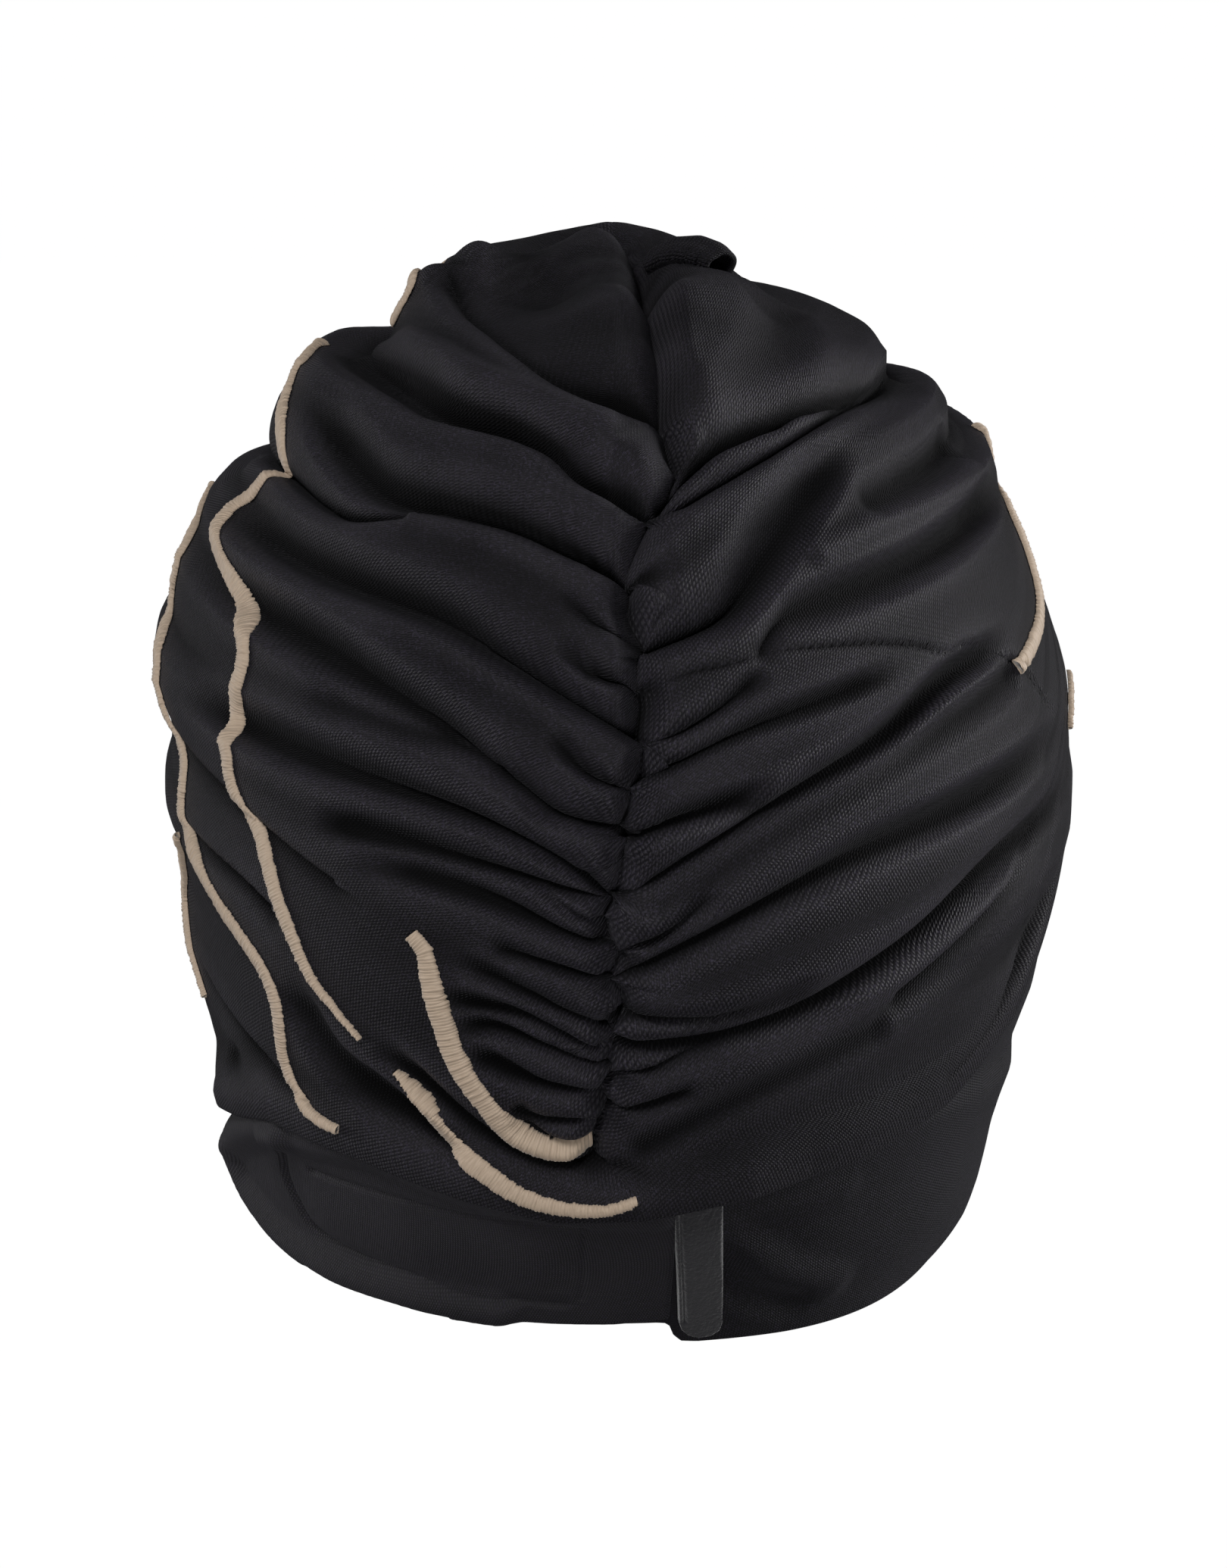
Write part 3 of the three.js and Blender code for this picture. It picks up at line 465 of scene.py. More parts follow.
# The lines of satin stitch: name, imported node, widths along the line, and path.
LINES = (
    ("stitch_left_long", "line_left_long", (2.4, 3.6, 3.8, 3.8, 3.8, 3.7, 3.6, 1.0), (
        (-86, 188), (-77, 185), (-76, 182.5), (-72.5, 179), (-68, 176), (-65, 173), (-64.8, 169.5),
        (-66, 165.5), (-68.5, 162), (-68.6, 158.5), (-67, 155), (-64, 151.8), (-60.3, 149),
        (-55.6, 145.4), (-52, 141), (-50.4, 136), (-51, 130.5), (-52.1, 125.6), (-51.7, 121.1),
        (-51, 117.6), (-50.9, 113.8), (-50.3, 110.6), (-49, 107.6), (-47.4, 105.1), (-46, 102.4),
        (-44.9, 99.2), (-43.6, 95.2), (-42.2, 90.6), (-40.9, 86.7), (-39.8, 83.1), (-38.9, 79.6),
        (-37.3, 75.5), (-35.2, 72.3), (-33.5, 69.3), (-31.4, 66.1)
    )),
    ("stitch_left_outer", "line_left_outer", (2.6, 3.4, 3.6, 3.6, 3.6, 3.4, 2), (
        (-92, 160), (-83, 154.5), (-79, 150.5), (-78.5, 146.5), (-79.8, 142), (-78.5, 137.5),
        (-75.5, 133.8), (-73.4, 130), (-72.6, 126), (-71.5, 121), (-70, 116), (-68.9, 111.4),
        (-68.5, 106.8), (-68.6, 103), (-67.8, 99.9), (-65.2, 96), (-62, 92.7), (-59.2, 89.1),
        (-56.2, 85.5), (-52.8, 82.2), (-49.8, 78.8), (-47.8, 76), (-46.3, 71.9), (-45.7, 67.4),
        (-45.7, 63), (-45.9, 57.4), (-44.9, 53.5), (-42.8, 49.8), (-40.2, 47.7), (-36.5, 46.4)
    )),
    ("stitch_left_side", "line_left_side", (2.2, 2.8, 2.8, 2), (
        (-69.5, 96), (-75.5, 87), (-79, 79.5), (-77.6, 74), (-75.2, 69), (-73.4, 64.1), (-72, 60.5)
    )),
    ("stitch_left_inner", "line_left_inner", (3.2, 4.4, 4.8, 4.8, 4.6, 4, 2.2), (
        (-23.3, 88.7), (-21.8, 85.5), (-21.3, 80.7), (-20.8, 76), (-20, 70.8), (-19.2, 65.7),
        (-18, 61.4), (-16.3, 57), (-14.4, 52.6), (-12.2, 48.6), (-9.9, 46.3), (-7.6, 45.5),
        (-5, 45.6), (-3, 45.6)
    )),
    ("stitch_left_hem", "line_left_hem", (1, 3.4, 4.5, 3.8, 3, 2), (
        (-27.6, 59.6), (-25.6, 56.2), (-23.7, 52.8), (-21.9, 48.4), (-19.2, 44.4), (-16.2, 41.2),
        (-12.2, 37.4), (-8, 35.3), (-4, 34.6), (-0.5, 34.9), (3, 36.6)
    )),
    ("stitch_crown", "line_crown", (2.6, 3, 3.4, 3.4), (
        (-117, 203), (-106, 201.4), (-94, 200.2), (-83, 199.8), (-76, 199.7), (-72.6, 199.3),
        (-71.8, 198.4), (-72.8, 197.2), (-75.5, 196)
    )),
    ("stitch_right_upper", "line_right_upper", (2.6, 3.6, 3.6, 3.6, 3.4), (
        (92, 172), (86, 167), (81, 162), (79.5, 156), (78.3, 150), (76.3, 143.6), (72, 138.8),
        (66, 135.3), (60, 132.1)
    )),
    ("stitch_right_side", "line_right_side", (1.5, 2.4, 1.5), (
        (84, 125), (79, 120), (77.5, 115.5)
    )),
)  # fmt: skip

# How far off the form the cloth stays at its hem, where it lies over the strap: turn, swell.
LEAST_SWELL = np.array([(-95, -4.6), (-80, -4.6), (-66, 3.3), (18, 3.3), (28, 0.9)])

# Spacing of a drape's columns: length round from the seam, spacing.
COLUMN_SPACING = np.array([(0, 0.7), (50, 0.7), (70, 1), (150, 1), (170, 2)])

# The curled end of the crown's pleat: right, front, height, radius.
PLEAT = np.array(
    [
        (6.5, -9.6, 208.6, 1.8), (9.5, -9.6, 210.2, 3.2), (13, -10, 210.9, 4.3),
        (17, -11.4, 210.7, 4.8), (20, -13.6, 209.9, 4.6), (21.6, -15.6, 209.2, 4),
    ]
)  # fmt: skip

# The studio's lamps: name, place and side in metres, and power in watts.
LAMPS = (
    ("key", (-0.5, -1.1, 1.1), 0.5, 13.5),
    ("low_front", (0.1, -1.6, -0.5), 0.8, 12),
    ("left", (-1.5, 0.4, 0.0), 0.8, 8),
    ("right", (1.5, 0.3, 0.25), 0.8, 24),
)


# ---------------------------------------------------------------- the smooth head form
@dataclass(frozen=True)
class HeadForm:
    """The smooth head form inside the cap, in millimetres above the nape edge."""

    crest: float = 209.0
    seat: float = 209.1
    widest: float = 100.0
    half_width: float = 95.0
    back_depth: float = 106.0
    front_depth: float = 102.0
    lowest: float = 1.2
    nape_width_share: float = 0.75
    nape_width_power: float = 1.8
    nape_depth_share: float = 0.7
    nape_depth_power: float = 1.9
    brow_loss: float = 0.12
    brow_power: float = 1.5
    forehead_edge: float = 98.0
    edge_power: float = 2.1
    fold_rise: float = 0.65
    fold_turn: float = 28.0
    probe: float = 0.5
    least: float = 1e-6
    crest_gap: float = 0.05

    def edge(self, turn: Array) -> Array:
        """Height of the form's edge at each turn."""
        return self.forehead_edge * ((1 - np.cos(np.radians(turn))) / 2) ** self.edge_power

    def section(self, height: Array) -> tuple[Array, Array, Array]:
        """Half width, back depth and front depth of the form at each height.

        Args:
            height: Heights above the nape edge.

        Returns:
            The three sizes at each height.
        """
        above = np.clip((height - self.widest) / (self.crest - self.widest), 0, 1)
        below = np.clip((self.widest - height) / self.widest, 0, self.lowest)
        arch = np.sqrt(1 - above * above)
        width_loss = (1 - self.nape_width_share) * below**self.nape_width_power
        depth_loss = (1 - self.nape_depth_share) * below**self.nape_depth_power
        half = self.half_width * arch * (1 - width_loss)
        back = self.back_depth * arch * (1 - depth_loss)
        front = self.front_depth * arch * (1 - self.brow_loss * below**self.brow_power)
        return half, back, front

    def point(self, turn: Array, height: Array) -> Array:
        """Points on the form.

        Args:
            turn: Turns of the places.
            height: Heights of the places.

        Returns:
            Points in millimetres, with three values in the last axis.
        """
        turn, height = np.broadcast_arrays(np.asarray(turn, float), np.asarray(height, float))
        half, back, front = self.section(height)
        sine, cosine = np.sin(np.radians(turn)), np.cos(np.radians(turn))
        depth = np.where(cosine > 0, back, front)
        return np.stack([half * sine, -depth * cosine, height], -1)

    def over(self, x: Array, y: Array) -> Array:
        """Points of the dome over places in plan.

        Args:
            x: Millimetres to the wearer's right.
            y: Millimetres to the front.

        Returns:
            Points in millimetres.
        """
        depth = np.where(y < 0, self.back_depth, self.front_depth)
        up = np.sqrt(1 - (x / self.half_width) ** 2 - (y / depth) ** 2)
        return np.stack([x, y, self.widest + (self.crest - self.widest) * up], -1)

    def normal(self, turn: Array, height: Array) -> Array:
        """Outward normals of the form: by its equation above the widest height, else by a step.

        Args:
            turn: Turns of the places.
            height: Heights of the places.

        Returns:
            Unit vectors.
        """
        x, y, height = np.moveaxis(self.point(turn, height), -1, 0)
        is_back = y < 0
        depth = np.where(is_back, self.back_depth, self.front_depth)
        rising = (height - self.widest) / (self.crest - self.widest) ** 2
        upper = np.stack([x / self.half_width**2, y / depth**2, rising], -1)
        half, back, front = self.section(height)
        lower_half, lower_back, lower_front = self.section(height - self.probe)
        here = np.where(is_back, back, front)
        beneath = np.where(is_back, lower_back, lower_front)
        half, here = np.maximum(half, self.least), np.maximum(here, self.least)
        up = -(x**2) * (half - lower_half) / self.probe / half**3
        up = up - y**2 * (here - beneath) / self.probe / here**3
        lower = np.stack([x / half**2, y / here**2, up], -1)
        return unit(np.where((height >= self.widest)[..., None], upper, lower))

    def off(self, turn: Array, height: Array, out: Array) -> Array:
        """Points that stand off the form by so many millimetres."""
        return self.point(turn, height) + self.normal(turn, height) * out[..., None]

    def read(self, points: Array) -> tuple[Array, Array]:
        """Reads where points near the form lie on it.

        Args:
            points: Points in millimetres.

        Returns:
            Their turns and their heights.
        """
        height = np.clip(points[..., 2], 0, self.crest - self.crest_gap)
        half, back, front = self.section(height)
        depth = np.where(points[..., 1] < 0, back, front)
        turn = np.degrees(np.arctan2(points[..., 0] / half, -points[..., 1] / depth))
        return turn, height

    def climb(self, turn: Array) -> Array:
        """How strongly the fold rows climb at each turn."""
        return self.fold_rise * (1 - np.exp(-np.abs(turn) / self.fold_turn))

    def row_height(self, turn: Array, row: Array) -> Array:
        """Height of a fold row, from row 0 at the edge to row 1 at the crown."""
        edge = self.edge(turn)
        return edge + (self.crest - edge) * (row + self.climb(turn) * row * (1 - row))

    def row_at(self, turn: Array, height: Array) -> Array:
        """The fold row that passes through each place.

        Args:
            turn: Turns of the places.
            height: Heights of the places.

        Returns:
            Rows from 0 at the edge to 1 at the crown.
        """
        edge = self.edge(turn)
        share = np.clip((height - edge) / (self.crest - edge), 0, 1)
        rise = np.maximum(self.climb(turn), self.least)
        return (1 + rise - np.sqrt((1 + rise) ** 2 - 4 * rise * share)) / (2 * rise)


class Nearness(NamedTuple):
    """The places near a route: which, how far off, how far along, which side and the way to it."""

    index: Array
    distance: Array
    along: Array
    above: Array
    toward: Array


class Route:
    """A smooth line over the head form."""

    def __init__(self, form: HeadForm, path: Path, steps: int = 5, in_plan: bool = False) -> None:
        """Lays the line on the form.

        Args:
            form: The head form.
            path: (turn, height) places that it passes through.
            steps: Steps between two places.
            in_plan: True where the places are millimetres right and front, on the crown.
        """
        places = curve_through(path, steps)
        if in_plan:
            self.points = form.over(places[:, 0], places[:, 1])
        else:
            self.points = form.point(places[:, 0], np.clip(places[:, 1], 0, form.crest))
        self.outward = math.copysign(1.0, path[-1][0] - path[0][0])

    def near(self, points: Array, normals: Array, reach: float) -> Nearness:
        """Finds the places within reach of the line.

        Args:
            points: Places on the form, one row each.
            normals: The form's normals there.
            reach: How far off a place may be, in millimetres.

        Returns:
            What is near, and where it lies by the line.
        """
        low, high = self.points.min(0) - reach, self.points.max(0) + reach
        index = np.nonzero(((points > low) & (points < high)).all(1))[0]
        start, span = self.points[:-1], np.diff(self.points, axis=0)
        length = np.maximum((span**2).sum(1), TINY)
        place = points[index]
        share = ((place[:, None] - start) * span).sum(2) / length
        share = np.clip(share, 0, 1)
        foot = start + share[..., None] * span
        squared = ((place[:, None] - foot) ** 2).sum(2)
        best = squared.argmin(1)
        rows = np.arange(len(index))
        distance = np.sqrt(squared[rows, best])
        toward = foot[rows, best] - place
        across = np.cross(normals[index], span[best])
        above = (across * -toward).sum(1) * self.outward > 0
        along = (best + share[rows, best]) / len(span)
        keep = distance < reach
        return Nearness(index[keep], distance[keep], along[keep], above[keep], unit(toward[keep]))

    def beside(self, crease: Crease, points: Array, normals: Array) -> tuple[Nearness, Array]:
        """Finds the places on the shoulders of a crease that follows the line.

        Args:
            crease: The crease.
            points: Places on the form, one row each.
            normals: The form's normals there.

        Returns:
            What is near, and how far off it is as a share of that shoulder's reach.
        """
        near = self.near(points, normals, max(crease.up, crease.down))
        return near, near.distance / np.where(near.above, crease.up, crease.down)


def lay_out(form: HeadForm, marks: Sequence[Any], in_plan: bool = False) -> list[Any]:
    """Pairs each crease or swell with its route over the form."""
    return [(mark, Route(form, mark.path, in_plan=in_plan)) for mark in marks]


def add_swells(
    out: Array, swells: list[tuple[Swell, Route]], points: Array, normals: Array
) -> None:
    """Adds swells to the offsets of places on the form.

    Args:
        out: Offsets of the places, which are changed.
        swells: The swells with their routes.
        points: Places on the form, one row each.
        normals: The form's normals there.
    """
    for swell, route in swells:
        near = route.near(points, normals, swell.reach)
        out[near.index] += swell.rise * dome(near.distance / swell.reach) ** 2


# ---------------------------------------------------------------- the folded surface
@dataclass
class FoldedSurface:
    """The outside of the gathered cloth, as an offset from the head form.

    Depths and reaches are in millimetres. A crease's depth is scaled by pinch at its seam end and
    by open_end at its outer end, and it fades out over the last stretch of its length. While it is
    crisp, the fold beside it leans over it by the share lean of its depth.
    """

    form: HeadForm
    seam_depth: float = 8.5
    seam_reach: float = 6.5
    pinch: float = 2.35
    open_end: float = 1.35
    fade_from: float = 0.8
    crisp_ease: float = 0.25
    lean: float = 0.35
    lean_below: float = 0.25
    ripple_height: float = 0.42
    ripple_rows: float = 240.0
    ripple_shift: float = 40.0
    flat_hem: float = 12.0
    hem_guard: tuple[float, float] = (2.0, 13.0)
    side_turns: tuple[float, float] = (32.0, 76.0)
    front_turns: tuple[float, float] = (125.0, 178.0)
    crown_drop: float = 6.0
    crown_centre: tuple[float, float] = (-2.0, -9.0)
    crown_reach: tuple[float, float] = (33.0, 27.0)
    crown_ease: tuple[float, float] = (0.75, 1.25)
    crown_spread: float = 13.0
    crown_trace: float = 1e-12
    seam_steps: int = 6

    def __post_init__(self) -> None:
        """Lays the creases and swells on the form and draws the wrinkles."""
        self.creases = lay_out(self.form, CREASES) + lay_out(self.form, CROWN_CREASES, in_plan=True)
        self.swells = lay_out(self.form, SWELLS)
        seam = [(turn, height) for height, turn in SEAM]
        self.seam = Route(self.form, seam, self.seam_steps)
        self.wrinkles = [(wrinkles, Ripple(wrinkles.seed)) for wrinkles in WRINKLES]

    def hem(self, turn: Array) -> Array:
        """Height of the drapes' hem at each turn."""
        return read_table(HEM, turn)

    def seam_turn(self, height: Array) -> Array:
        """Turn of the gathered seam at each height."""
        return read_table(SEAM[::-1], height)

    def broad(self, turn: Array, height: Array) -> Array:
        """The cloth's broad swell beyond the form, without its folds.

        Args:
            turn: Turns of the places.
            height: Heights of the places.

        Returns:
            The swell at each place.
        """
        form = self.form
        row = form.row_at(turn, height)
        at_ear = form.row_height(90.0, row)
        front = 0.5 * smooth(*self.front_turns, np.abs(turn))
        left, right = read_table(SIDE_SWELL, at_ear), read_table(SIDE_SWELL, at_ear, 2)
        side = blend(left, right, np.where(turn < 0, front, 1 - front))
        back = read_table(BACK_SWELL, form.row_height(0.0, row))
        crown = smooth(form.crest - self.crown_drop, form.crest, height)
        swell = blend(back, side, smooth(*self.side_turns, np.abs(turn)) * (1 - crown))
        plan = form.point(turn, height)[..., :2]
        across, along = np.moveaxis((plan - self.crown_centre) / self.crown_reach, -1, 0)
        return blend(self.crown(plan), swell, smooth(*self.crown_ease, np.hypot(across, along)))

    def crown(self, plan: Array) -> Array:
        """Swell of the crown over places in plan, eased between the table's places.

        Args:
            plan: Places in millimetres to the right and to the front.

        Returns:
            The swell at each place.
        """
        total = np.zeros(plan.shape[:-1])
        weight = np.full_like(total, self.crown_trace)
        for front, swells in CROWN_SWELL.items():
            for right, swell in zip(CROWN_ACROSS, swells):
                squared = (plan[..., 0] - right) ** 2 + (plan[..., 1] - front) ** 2
                share = np.exp(-squared / self.crown_spread)
                total += share * swell
                weight += share
        return total / weight

    def offsets(self, turn: Array, height: Array) -> tuple[Array, Array]:
        """Works out how the folds move the cloth off the form.

        Args:
            turn: Turns of the places, in one row.
            height: Heights of the places, in one row.

        Returns:
            How far the cloth stands out along the form's normal, and a sideways shift of each
            place towards the crease that its fold leans over.
        """
        points, normals = self.form.point(turn, height), self.form.normal(turn, height)
        out = self.broad(turn, height)
        add_swells(out, self.swells, points, normals)
        # Where creases cross, the cubes keep about the depth of the deeper one.
        cubes, slide = np.zeros_like(out), np.zeros_like(points)
        for crease, route in self.creases:
            near, off = route.beside(crease, points, normals)
            share = np.clip(1 - off, 0, 1)
            strength = blend(self.pinch * crease.near, self.open_end * crease.far, near.along)
            strength *= 1 - smooth(self.fade_from, 1, near.along)
            ease = self.crisp_ease
            soft = smooth(crease.crisp - ease, crease.crisp + ease, near.along)
            cubes[near.index] += (strength * blend(share**2, dome(off) ** 2, soft)) ** 3
            lean = strength * self.lean * (1 - soft) * np.where(near.above, 1.0, self.lean_below)
            lean *= 4 * share**2 * (1 - share)
            slide[near.index] += near.toward * lean[:, None]
        near = self.seam.near(points, normals, self.seam_reach)
        share = np.clip(1 - near.distance / self.seam_reach, 0, 1)
        cubes[near.index] += (self.seam_depth * share**2) ** 3
        clear = height - self.hem(turn)
        folded = smooth(0, self.flat_hem, clear)
        out -= np.cbrt(cubes) * folded
        slide *= folded[:, None]
        out += self.ripples(turn, height) * folded
        guarded = np.maximum(out, read_table(LEAST_SWELL, turn))
        return blend(guarded, out, smooth(*self.hem_guard, clear)), slide

    def ripples(self, turn: Array, height: Array) -> Array:
        """Small soft wrinkles that run along the fold rows and fade away from the seam.

        Args:
            turn: Turns of the places.
            height: Heights of the places.

        Returns:
            Their height at each place.
        """
        row = self.form.row_at(turn, height) * self.ripple_rows
        seam = self.seam_turn(height)
        along = np.abs(turn - seam)
        side = np.where(turn < seam, self.ripple_shift, 0.0)
        total = np.zeros_like(along)
        for kind, ripple in self.wrinkles:
            fade = kind.least + (1 - kind.least) * np.exp(-along / kind.fade)
            total += kind.weight * ripple.at(row / kind.rows + side, along / kind.turns) * fade
        return self.ripple_height * total

    def place(self, turn: Array, height: Array) -> Array:
        """Points on the cloth.

        Args:
            turn: Turns of the places.
            height: Heights of the places.

        Returns:
            Points in millimetres, in the shape of turn with three in the last axis.
        """
        turn, height = np.broadcast_arrays(np.asarray(turn, float), np.asarray(height, float))
        out, slide = self.offsets(turn.ravel(), height.ravel())
        point = self.form.point(turn, height) + slide.reshape(*turn.shape, 3)
        return point + self.form.normal(turn, height) * out.reshape(turn.shape)[..., None]


# ---------------------------------------------------------------- meshes from grids
@dataclass
class Shell:
    """Vertices, faces and fabric coordinates of one closed piece, gathered as it is built."""

    lift: float
    points: list[Array] = field(default_factory=list)
    cloth: list[Array] = field(default_factory=list)
    depths: list[Array] = field(default_factory=list)
    faces: list[Array] = field(default_factory=list)
    count: int = 0

    def add(self, points: Array, cloth: Array, depth: Any = 0.0) -> Array:
        """Adds a grid of vertices.

        Args:
            points: Grid of points in millimetres.
            cloth: Grid of the same places on the flat cloth, in millimetres.
            depth: How deep in a crease each place lies, from -1 on a ridge to 1 in a crease.

        Returns:
            The grid of vertex numbers.
        """
        shape = points.shape[:-1]
        number = int(np.prod(shape))
        self.points.append(points.reshape(-1, 3))
        self.cloth.append(cloth.reshape(-1, 2))
        self.depths.append(np.broadcast_to(depth, shape).ravel())
        ids = np.arange(self.count, self.count + number).reshape(shape)
        self.count += number
        return ids

    def skin(self, ids: Array, turned: bool = False) -> None:
        """Joins a grid of vertices with quads.

        Args:
            ids: Grid of vertex numbers.
            turned: True where the faces look the other way.
        """
        a, b, c, d = ids[:-1, :-1], ids[:-1, 1:], ids[1:, 1:], ids[1:, :-1]
        quads = np.stack([a, d, c, b] if turned else [a, b, c, d], -1)
        self.faces.append(quads.reshape(-1, 4))

    def gather(self, row: Array, tip: int, turned: bool = False) -> None:
        """Joins a row of vertices to a single one."""
        self.skin(np.vstack([row, np.full(len(row), tip)]), turned)

    def triangles(self, corners: tuple[Array, Array, Array], turned: bool = False) -> None:
        """Adds triangles, each stored as a quad that ends on its first corner."""
        faces = np.stack(corners[::-1] if turned else corners, -1)
        self.faces.append(closed(faces))

    def fan(self, rim: Array, turned: bool = False) -> None:
        """Fills a rim with triangles from its first vertex."""
        self.triangles((np.full(len(rim) - 2, rim[0]), rim[1:-1], rim[2:]), turned)

    def zip_edges(self, fine: Array, coarse: Array, turned: bool = False) -> None:
        """Joins an edge to another with half as many steps.

        Args:
            fine: Vertex numbers of the finer edge.
            coarse: Vertex numbers of the coarser edge.
            turned: True where the faces look the other way.
        """
        start, middle, end = fine[:-2:2], fine[1::2], fine[2::2]
        left, right = coarse[:-1], coarse[1:]
        for corners in ((start, left, middle), (middle, left, right), (middle, right, end)):
            self.triangles(corners, turned)

    def mesh(self, name: str) -> bpy.types.Object:
        """Makes the Blender object, with a UV map in metres of flat cloth.

        Args:
            name: Name of the object.

        Returns:
            The object, linked to the scene.
        """
        points = np.vstack(self.points)
        points[:, 2] -= self.lift
        cloth = np.vstack(self.cloth)
        faces = []
        for face in np.vstack(self.faces).tolist():
            corners = list(dict.fromkeys(face))
            if len(corners) > 2:
                faces.append(corners)
        data = bpy.data.meshes.new(name)
        data.from_pydata((points * MM).tolist(), [], faces)
        data.update()
        depth = data.attributes.new("crease_depth", "FLOAT", "POINT")
        depth.data.foreach_set("value", np.concatenate(self.depths).astype(np.float32))
        layer = data.uv_layers.new(name="cloth")
        corners = np.zeros(len(data.loops), np.int32)
        data.loops.foreach_get("vertex_index", corners)
        layer.data.foreach_set("uv", (cloth[corners] * MM).astype(np.float32).ravel())
        data.polygons.foreach_set("use_smooth", [True] * len(data.polygons))
        obj = bpy.data.objects.new(name, data)
        bpy.context.scene.collection.objects.link(obj)
        return obj


# ---------------------------------------------------------------- finishes
NOISE = "ShaderNodeTexNoise"
MATH = "ShaderNodeMath"
RANGE = "ShaderNodeMapRange"
MAPPING = "ShaderNodeMapping"
BUMP = "ShaderNodeBump"
MIX = "ShaderNodeMix"
FACTOR, FIRST, SECOND, MIXED = 0, 6, 7, 2  # A colour mix's inputs and its output.


class Direction(Enum):
    """Which way the knit's loops run on a piece, in degrees."""

    ALONG = 0.0
    DIAGONAL = 28.0


def linear(code: int) -> tuple[float, float, float, float]:
    """Turns an sRGB hex value to a linear colour with full alpha.

    Args:
        code: Red, green and blue in two hex digits each.

    Returns:
        The linear channels.
    """
    channels = [((code >> shift) & 255) / 255 for shift in (16, 8, 0)]
    curved = [c / 12.92 if c <= 0.04045 else ((c + 0.055) / 1.055) ** 2.4 for c in channels]
    return (curved[0], curved[1], curved[2], 1.0)


def feed(tree: bpy.types.NodeTree, node: bpy.types.Node, inputs: dict[str | int, Any]) -> None:
    """Fills a node's inputs.

    Args:
        tree: Node tree that the node is in.
        node: The node.
        inputs: Values or output sockets for its inputs, by name or number.
    """
    for key, value in inputs.items():
        if isinstance(value, bpy.types.NodeSocket):
            tree.links.new(value, node.inputs[key])
        else:
            node.inputs[key].default_value = value


def add_node(
    tree: bpy.types.NodeTree, kind: str, inputs: dict[str | int, Any] | None = None, **settings: Any
) -> bpy.types.Node:
    """Adds a node with its settings and links.

    Args:
        tree: Node tree to add to.
        kind: Node type.
        inputs: Values or output sockets for its inputs, by name or number.
        **settings: Properties of the node.

    Returns:
        The new node.
    """
    node = tree.nodes.new(kind)
    for key, value in settings.items():
        setattr(node, key, value)
    feed(tree, node, inputs or {})
    return node


def per_metre(size: float) -> float:
    """Scale of a pattern whose cells are so many millimetres wide."""
    return 1 / (size * MM)


def limits(
    value: bpy.types.NodeSocket, read: tuple[float, float], give: tuple[float, float]
) -> dict[str | int, Any]:
    """Inputs of a range node that reads one range of values and gives another."""
    names = ("From Min", "From Max", "To Min", "To Max")
    return {"Value": value, **dict(zip(names, (*read, *give)))}


@dataclass(frozen=True)
class Finish:
    """A finish that builds its own material. The pattern sizes are in millimetres."""

    name: str

    def material(self) -> bpy.types.Material:
        """Builds the material.

        Returns:
            The material, whose shader has the inputs that shade gives.
        """
        material = bpy.data.materials.new(self.name)
        material.use_nodes = True
        tree = material.node_tree
        feed(tree, tree.nodes["Principled BSDF"], self.shade(tree))
        return material

    def shade(self, tree: bpy.types.NodeTree) -> dict[str | int, Any]:
        """Adds the finish's nodes.

        Args:
            tree: Node tree to add to.

        Returns:
            Values or output sockets for the shader's inputs.
        """
        raise NotImplementedError


